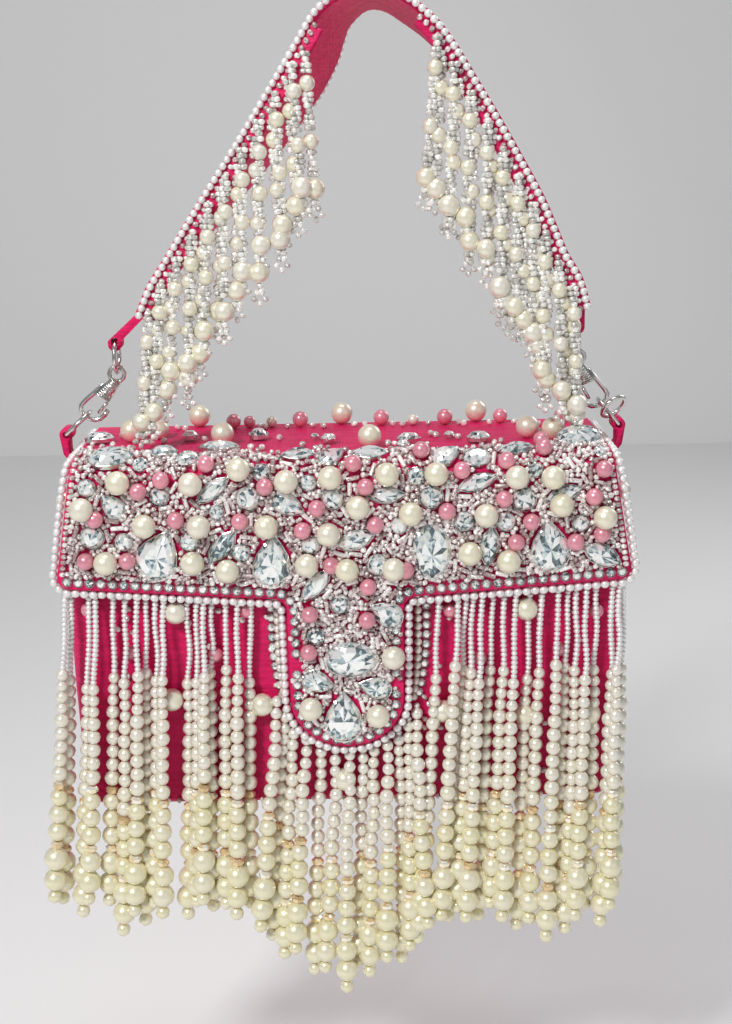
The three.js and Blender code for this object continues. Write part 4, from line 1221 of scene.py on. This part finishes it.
class HANDBAG_OT_main_beads(bpy.types.Operator):
    """Main pearls and main cut stones in their settings"""
    bl_idname = "handbag.main_beads"
    bl_label = "Main pearls and stones"

    def execute(self, context):
        chance = random.Random(51)
        pearl = ball(24, 14)
        rows = []
        radius = sizes().main_pearl / 2
        corners = [map(Vector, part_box(node)) for node in MAIN_PEARL_NODES]
        middles = [(low + high) / 2 for low, high in corners]
        middles += [on_flap(x, s, radius / MM)[0] for x, s in BEND_PEARLS]
        for middle in middles:
            rows.append((pearl, along(middle, (0.3, -0.2, 1), radius), chance.uniform(0.3, 0.65)))
        for x, s, width, pink in TOP_PEARLS:
            if not pink:
                place = on_flap(x, s, width / 2)[0]
                rows.append((pearl, along(place, (0.3, 0.1, 1), width / 2 * MM),
                             chance.uniform(0.2, 0.6)))
        piece = gather("main_pearls", rows, "cream")
        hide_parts(*MAIN_PEARL_NODES)
        stones, cups, names = [], [], []
        height = sizes().stone_height / MM
        tip = Matrix.Rotation(math.radians(24), 3, "X")
        for name, cut, x, s, width, length, turn in MAIN_STONES:
            place, out, up = on_flap(x, s, 0.25)
            if s < 0:
                place, out, up = place + Vector((0, 0, 1.6 * MM)), tip @ out, tip @ up
            matrix = facing(place, up, out, MM, math.radians(turn))
            stones.append((cut_stone(cut, width, length, height * 1.1, 16), matrix, 0.5))
            cups.append((setting(cut, width, length, height, 16, 8), matrix, 0.5))
            names.append(name)
        piece = gather("main_stones", stones, "crystal", facet_spread=1.1)
        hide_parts(*names)
        gather("main_settings", cups, "silver")
        return {"FINISHED"}


class HANDBAG_OT_beadwork(bpy.types.Operator):
    """Small stones, pink pearls, cup chain, bugles and seeds that cover the flap"""
    bl_idname = "handbag.beadwork"
    bl_label = "Flap beadwork"

    # Side in millimetres of a square in the grid that finds taken places quickly
    square = 4

    def execute(self, context):
        self.chance = random.Random(77)
        self.taken = []
        self.grid = {}
        self.reserve_main()
        self.small_stones()
        self.pink_pearls()
        self.cup_chain()
        self.field()
        self.top_strip()
        return {"FINISHED"}

    def reserve(self, x, s, radius):
        """Takes a round place, so that no later bead lies in it."""
        self.taken.append((x, s, radius))
        for i in self.squares(x, radius):
            for j in self.squares(s, radius):
                self.grid.setdefault((i, j), []).append((x, s, radius))

    def squares(self, middle, radius):
        """The grid's squares that a round place reaches, in one direction."""
        return range(int((middle - radius) // self.square),
                     int((middle + radius) // self.square) + 1)

    def free(self, x, s, radius):
        """True where no taken place overlaps this one."""
        column, line = int(x // self.square), int(s // self.square)
        for i in (column - 1, column, column + 1):
            for j in (line - 1, line, line + 1):
                for a, b, r in self.grid.get((i, j), ()):
                    if (a - x) ** 2 + (b - s) ** 2 < (r + radius) ** 2:
                        return False
        return True

    def reserve_long(self, x, s, width, length, turn):
        """Takes the place of a long stone, as a row of round places."""
        way = Vector((math.sin(math.radians(turn)), -math.cos(math.radians(turn))))
        spare = max(0.0, (length - width) / 2)
        for t in (-1, -0.5, 0, 0.5, 1):
            self.reserve(x + way.x * spare * t, s + way.y * spare * t,
                         width / 2 * (1.0 - 0.15 * abs(t)))

    def reserve_main(self):
        for node in MAIN_PEARL_NODES:
            low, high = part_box(node)
            x = (low[0] + high[0]) / 2 / MM - BAG_X
            self.reserve(x, face_distance((low[2] + high[2]) / 2 / MM), 3.3)
        for name, cut, *shape in MAIN_STONES:
            self.reserve_long(*shape)
        for x, s in BEND_PEARLS:
            self.reserve(x, s, 3.3)
        for x, s, width, pink in TOP_PEARLS:
            self.reserve(x, s, width / 2)

    def small_stones(self):
        stones, cups = [], []

        def add(stone, cup, matrix):
            stones.append((stone, matrix, self.chance.uniform(0.35, 0.65)))
            cups.append((cup, matrix, 0.5))

        for cut, x, s, width, length, turn in SMALL_STONES:
            place, out, up = on_flap(x, s, 0.1 if s > -1 else 0.8)
            add(cut_stone(cut, width, length, 3.0, 12), setting(cut, width, length, 3.0, 12, 6),
                facing(place, up, out, MM, math.radians(turn)))
            self.reserve_long(x, s, width, length, turn)
        round_stone = cut_stone("oval", 1, 1, 0.48, 12)
        round_cup = setting("oval", 1, 1, 0.5, 12, 4)
        for x, s, width in ROUND_STONES:
            place, out, up = on_flap(x, s, 0.1 if s > -1 else 1.0)
            add(round_stone, round_cup,
                facing(place, up, out, width * MM, self.chance.uniform(0, 1.5)))
            self.reserve(x, s, width / 2)
        gather("small_stones", stones, "crystal", facet_spread=1.1)
        gather("small_settings", cups, "silver")

    def pink_pearls(self):
        pearl = ball(16, 10)
        rows = []
        radius = sizes().pink_pearl / 2

        def add(x, s, lift, size):
            matrix = along(on_flap(x, s, lift)[0], (0.3, 0, 1), size)
            rows.append((pearl, matrix, self.chance.random()))

        for x, s in PINK_PEARLS:
            add(x, s, radius / MM, radius)
            self.reserve(x, s, radius / MM * 0.92)
        for x, s, width, pink in TOP_PEARLS:
            if pink:
                add(x, s, width / 2, width / 2 * MM)
        gather("pink_pearls", rows, "pink")

    def cup_chain(self):
        """Small stones in cups along the lower edge and, with gaps, beside the tongue."""
        stone, cup = chain_stone()
        stones, cups = [], []
        low = [(x, z) for x, z in flap_side(-2.6) if z < FLAP_LOW + 3]
        for sign in (-1, 1):
            route = [(sign * x, z, 0) for x, z in low]
            for place, heading in measured(route, sizes().chain_pitch / MM):
                x, z = place.x, place.y
                self.reserve(x, face_distance(z), 1.7)
                if -226 < z < FLAP_LOW - 4 and self.chance.random() < 0.3:
                    continue
                turn = math.radians(22.5) - math.atan2(heading.y, heading.x)
                matrix = facing(bag(x, FLAP_FRONT - 0.05, z), (0, 0, 1), (0, -1, 0),
                                sizes().chain_stone, turn)
                stones.append((stone, matrix, self.chance.uniform(0.3, 0.8)))
                cups.append((cup, matrix, 0.5))
        gather("cup_chain_stones", stones, "crystal", facet_spread=0.9)
        gather("cup_chain_cups", cups, "silver")

    def inside(self, x, s):
        """True where the field of seeds and bugles may lie."""
        z = flap_height(s)
        on_bare_top = s < 1.5 + 1.3 * math.sin(x * 0.21) and abs(x) < 70
        if on_bare_top or s < -9 or abs(x) > flap_half(z) - 1.3:
            return False
        if z > FLAP_LOW + 4.8 - flap_dip(x):
            return True
        if abs(x) > 18.7:
            return False
        return z >= TONGUE_BOWL or (x / 16.5) ** 2 + ((z - TONGUE_BOWL) / 13.4) ** 2 < 1

    def tried(self, count, half_width, start):
        """Chance places over the flap, from start down past the tongue's end."""
        for attempt in range(count):
            yield self.chance.uniform(-half_width, half_width), self.chance.uniform(start, 105)

    def field(self):
        self.seed = barrel_bead(6, 1.5, 0.4)
        tube = barrel_bead(6, 2.0, 0.12)
        main_places = list(self.taken)
        bugles, grains, low = self.side_rows(), [], []
        bugle = sizes().bugle / MM
        reach = bugle / 2 - 0.8
        for x, s in self.tried(2200, 92, -3):
            if not self.inside(x, s):
                continue
            near = min(main_places,
                       key=lambda row: (row[0] - x) ** 2 + (row[1] - s) ** 2 - row[2] ** 2)
            turn = (math.atan2(s - near[1], x - near[0]) + math.pi / 2
                    + self.chance.uniform(-0.35, 0.35))
            ends = [(x + math.cos(turn) * reach * t, s + math.sin(turn) * reach * t)
                    for t in (-1, 0, 1)]
            if not all(self.inside(*end) and self.free(*end, 0.8) for end in ends):
                continue
            for end in ends:
                self.reserve(*end, 0.85)
            place, out, up = on_flap(x, s, self.chance.uniform(0.9, 1.5))
            heading = (up.cross(out) * math.cos(turn) - up * math.sin(turn)
                       + out * self.chance.uniform(-0.12, 0.12))
            matrix = along(place, heading, 0.85 * MM, bugle / 2 * MM)
            bugles.append((tube, matrix, self.chance.random()))
        for x, s in self.tried(110000, 93, -4):
            radius = self.chance.choice((0.9, 1.0, 1.1))
            if self.inside(x, s) and self.free(x, s, radius * 0.66):
                self.reserve(x, s, radius * 0.66)
                place, out, heading = self.any_way(x, s, 0.8, 2.0)
                heading += out * self.chance.uniform(-0.5, 0.5)
                grains.append((self.seed, along(place, heading, radius * MM), self.chance.random()))
        for x, s in self.tried(14000, 92, -2):
            if self.inside(x, s) and self.free(x, s, 0.2):
                self.reserve(x, s, 0.55)
                place, out, heading = self.any_way(x, s, 0.5, 0.9)
                matrix = along(place, heading, 0.95 * MM)
                # Painted shade: the lower layer's tints stop at 0.6, so these seeds come out darker
                # in the gaps under the field.
                low.append((self.seed, matrix, self.chance.uniform(0, 0.6)))
        gather("field_underlayer", low, "field_seed", facet_spread=0.3)
        gather("field_bugles", bugles, "field_seed", facet_spread=0.5)
        gather("field_seeds", grains, "field_seed", facet_spread=0.3)

    def any_way(self, x, s, low, high):
        """A place on the flap at a chance height, its outward way, and a chance way along it."""
        place, out, up = on_flap(x, s, self.chance.uniform(low, high))
        turn = self.chance.uniform(0, 6.28)
        return place, out, up.cross(out) * math.cos(turn) + up * math.sin(turn)

    def side_rows(self):
        """A row of seeds down each side of the flap."""
        rows = []
        for side in (-1, 1):
            for k in range(22):
                s = 4 + k * 2.05
                z = flap_height(s)
                x = side * (flap_half(z) - 1.6)
                if z > FLAP_LOW + 4:
                    place, out, up = on_flap(x, s, 1.0)
                    rows.append((self.seed, along(place, up, 1.05 * MM), self.chance.random()))
                    self.reserve(x, s, 1.0)
        return rows

    def top_strip(self):
        seed = barrel_bead(8, 1.3, 0.4)
        rows = []
        for x, s in TOP_SEEDS:
            heading = [self.chance.uniform(-1, 1) for axis in range(3)]
            matrix = along(on_flap(x, s, 1.1)[0], heading, 1.2 * MM)
            rows.append((seed, matrix, self.chance.random()))
        gather("top_seeds", rows, "seed", facet_spread=0.2)


def chain_stone():
    """A round stone and its cup, one unit wide."""
    return cut_stone("oval", 1, 1, 0.55, 8), setting("oval", 1.12, 1.12, 0.6, 8, 4)


class HANDBAG_OT_body_beads(bpy.types.Operator):
    """Pearls, seeds and borders sewn on the body's front"""
    bl_idname = "handbag.body_beads"
    bl_label = "Body beadwork"

    def execute(self, context):
        chance = random.Random(91)
        pearl = ball(18, 11)
        small = ball(12, 8)
        seed = barrel_bead(8, 1.3, 0.4)
        stone, cup = chain_stone()
        cream, pink, glass, stones, cups = [], [], [], [], []

        def on_body(x, z, lift):
            return bag(x, body_face(x) - lift, z)

        for x, z in BODY_PEARLS:
            matrix = along(on_body(x, z, 3.4), (0.2, 0, 1), sizes().main_pearl / 2)
            cream.append((pearl, matrix, chance.uniform(0.3, 0.6)))
        for side in (-1, 1):
            cream.append((small, along(bag(side * 95.6, -18, -163), (0.2, 0, 1), 3.1 * MM), 0.3))
        for x, z in BODY_PINK_PEARLS:
            pink.append((small, along(on_body(x, z, 2.2), (0.2, 0, 1), 2.6 * MM), chance.random()))
        for k in range(90):
            x = chance.uniform(-86, 86)
            z = chance.uniform(BODY_BOTTOM + 6, -196)
            heading = (chance.uniform(-1, 1), 0.4, chance.uniform(-1, 1))
            glass.append((seed, along(on_body(x, z, 0.8), heading, 1.15 * MM), chance.random()))
        for side, pearls_at, stones_at in ((-1, 23.4, 25.6), (1, 24.8, 27.8)):
            for k in range(15):
                z = -193 - k * 2.85
                x = side * (pearls_at - 2.4 * max(0.0, (-212 - z) / 25) ** 2)
                cream.append((small, along(on_body(x, z, 1.35), (0, 0, 1), 1.4 * MM), 0.1))
            for k in range(12):
                z = -193 - k * 3.5
                x = side * (stones_at - 3 * max(0.0, (-208 - z) / 24) ** 2)
                matrix = facing(on_body(x, z, 0.1), (0, 0, 1), (0, -1, 0), 2.9 * MM, 0.4)
                stones.append((stone, matrix, chance.uniform(0.5, 0.9)))
                cups.append((cup, matrix, 0.5))
        for k in range(48):
            place = on_body(-86 + k * 172 / 47, BODY_BOTTOM + 2.2, 0.3)
            glass.append((seed, along(place, (1, 0, 0.1), 1.05 * MM), chance.random()))
        gather("body_pearls", cream, "cream")
        gather("body_pink_pearls", pink, "pink")
        gather("body_seeds", glass, "seed", facet_spread=0.2)
        gather("body_border_stones", stones, "crystal", facet_spread=0.9)
        gather("body_border_cups", cups, "silver")
        return {"FINISHED"}


class HANDBAG_OT_hardware(bpy.types.Operator):
    """Rings and spring hooks in polished nickel, with the hooks' ribbed barrels"""
    bl_idname = "handbag.hardware"
    bl_label = "Rings and hooks"

    def execute(self, context):
        for side in ("left", "right"):
            copy_of(f"hook_{side}", f"hook_metal_{side}", "nickel", 70)
            copy_of(f"gate_{side}", f"gate_metal_{side}", "nickel", 50, body=f"gate_{side}_body")
            copy_of(f"strap_ring_{side}", f"strap_ring_metal_{side}", "nickel", 70)
            copy_of(f"d_ring_{side}", f"d_ring_metal_{side}", "nickel", 70)
        copy_of("spare_ring", "spare_ring_metal", "nickel", 70)
        self.ribs()
        return {"FINISHED"}

    def ribs(self):
        """Nine ribs on each hook's barrel, which widens from its top to its foot. The hook hangs
        from its bar, and the bar from its ring, at the angles that they have in the solids."""
        rib = barrel_bead(14, 0.5, 0.16)
        rows = []
        for sign, lean, ring_lean in ((1, 22, 39), (-1, 33, 48)):
            lean, ring_lean = math.radians(lean), math.radians(ring_lean)
            bar = Vector((96.4 + sign * BAG_X, 0, -142.8))
            down = Vector((math.sin(lean), 0, -math.cos(lean)))
            inward = Vector((-math.cos(lean), 0, -math.sin(lean)))
            to_ring = Vector((-math.sin(ring_lean), 0, math.cos(ring_lean)))
            top = bar + to_ring * 11 - down * 19.2 - inward * 0.4
            heading = Vector((down.x * sign, 0, down.z))
            aside = Vector((heading.z, 0, -heading.x))
            for k in range(9):
                share = k / 8
                inner = 0.9 - 2.3 * share
                place = top + down * (5.2 + 6.8 * share) + inward * (inner + 4.3) / 2
                place.x *= sign
                size = (1.95 * MM, ((4.3 - inner) / 2 + 0.42) * MM, 0.95 * MM)
                rows.append((rib, facing(place * MM, aside, heading, size), 0.5))
        gather("hook_ribs", rows, "nickel")


class HANDBAG_OT_stage(bpy.types.Operator):
    """Camera at the photograph's angle, pale floor and backdrop, soft lights"""
    bl_idname = "handbag.stage"
    bl_label = "Stage"

    # Lights: name, place in metres, size in metres and power in watts
    lamps = [("key", (-0.5, -0.85, 0.6), 0.2, 10), ("fill", (0.9, -0.9, 0.1), 0.9, 1.0),
             ("top", (0.0, 0.0, 0.8), 0.4, 3.4), ("rim", (0.7, 0.7, 0.3), 0.5, 2)]
    sky = (0.86, 0.90, 0.96, 1)
    sky_strength = 0.3
    # Camera: focal length in picture heights, sensor in millimetres, tilt and roll in degrees,
    # and its place in millimetres from the flap's middle
    focal = 1560 / 1024
    sensor = 24
    tilt = 76
    roll = -1.1
    viewpoint = (7.7, -538.6, -39.2)

    def execute(self, context):
        scene = context.scene
        self.camera(scene)
        paper = Finish("pale_paper")
        paper.set(Base_Color=(0.86, 0.85, 0.84), Roughness=0.9)
        for name, place, tilt in (("floor", (0, 0, -0.42), 0), ("backdrop", (0, 1.3, 0), 90)):
            deselect()
            bpy.ops.mesh.primitive_plane_add(size=6, location=place,
                                             rotation=(math.radians(tilt), 0, 0))
            obj = context.active_object
            obj.name = name
            obj.data.materials.append(paper.material)
        for lamp in self.lamps:
            self.lamp(*lamp)
        scene.world = scene.world or bpy.data.worlds.new("World")
        scene.world.use_nodes = True
        background = scene.world.node_tree.nodes["Background"]
        background.inputs["Color"].default_value = self.sky
        background.inputs["Strength"].default_value = self.sky_strength
        scene.view_settings.view_transform = "Standard"
        return {"FINISHED"}

    def camera(self, scene):
        data = bpy.data.cameras.new("camera")
        data.sensor_fit = "VERTICAL"
        data.sensor_height = self.sensor
        data.lens = self.focal * self.sensor
        data.clip_start = 0.01
        turn = (Matrix.Rotation(math.radians(self.tilt), 4, "X")
                @ Matrix.Rotation(math.radians(self.roll), 4, "Z"))
        scene.camera = linked("camera", data)
        scene.camera.matrix_world = Matrix.Translation(bag(*self.viewpoint)) @ turn

    def lamp(self, name, place, size, power):
        data = bpy.data.lights.new(name, "AREA")
        data.size = size
        data.energy = power
        aim = Vector((0, 0, -0.17)) - Vector(place)
        turn = aim.to_track_quat("-Z", "Y").to_matrix().to_4x4()
        linked(name, data).matrix_world = Matrix.Translation(place) @ turn


STEPS = [HANDBAG_OT_body, HANDBAG_OT_flap, HANDBAG_OT_strap, HANDBAG_OT_piping,
         HANDBAG_OT_strap_fringe, HANDBAG_OT_fringe, HANDBAG_OT_main_beads, HANDBAG_OT_beadwork,
         HANDBAG_OT_body_beads, HANDBAG_OT_hardware, HANDBAG_OT_stage]


class HANDBAG_PT_panel(bpy.types.Panel):
    """Handbag tools in the sidebar"""
    bl_idname = "HANDBAG_PT_panel"
    bl_label = "Beaded Handbag"
    bl_space_type = "VIEW_3D"
    bl_region_type = "UI"
    bl_category = "Handbag"

    def draw(self, context):
        for group in (sizes(), colours()):
            for key in group.__annotations__:
                self.layout.prop(group, key)
        for step in STEPS:
            self.layout.operator(step.bl_idname)


CLASSES = [BagSizes, BagColours, *STEPS, HANDBAG_PT_panel]


def register():
    for item in CLASSES:
        bpy.utils.register_class(item)
    bpy.types.Scene.handbag_sizes = PointerProperty(type=BagSizes)
    bpy.types.Scene.handbag_colours = PointerProperty(type=BagColours)


def unregister():
    del bpy.types.Scene.handbag_colours
    del bpy.types.Scene.handbag_sizes
    for item in reversed(CLASSES):
        bpy.utils.unregister_class(item)


def main():
    register()
    for step in STEPS:
        group, name = step.bl_idname.split(".")
        getattr(getattr(bpy.ops, group), name)()


if __name__ == "__main__":
    main()
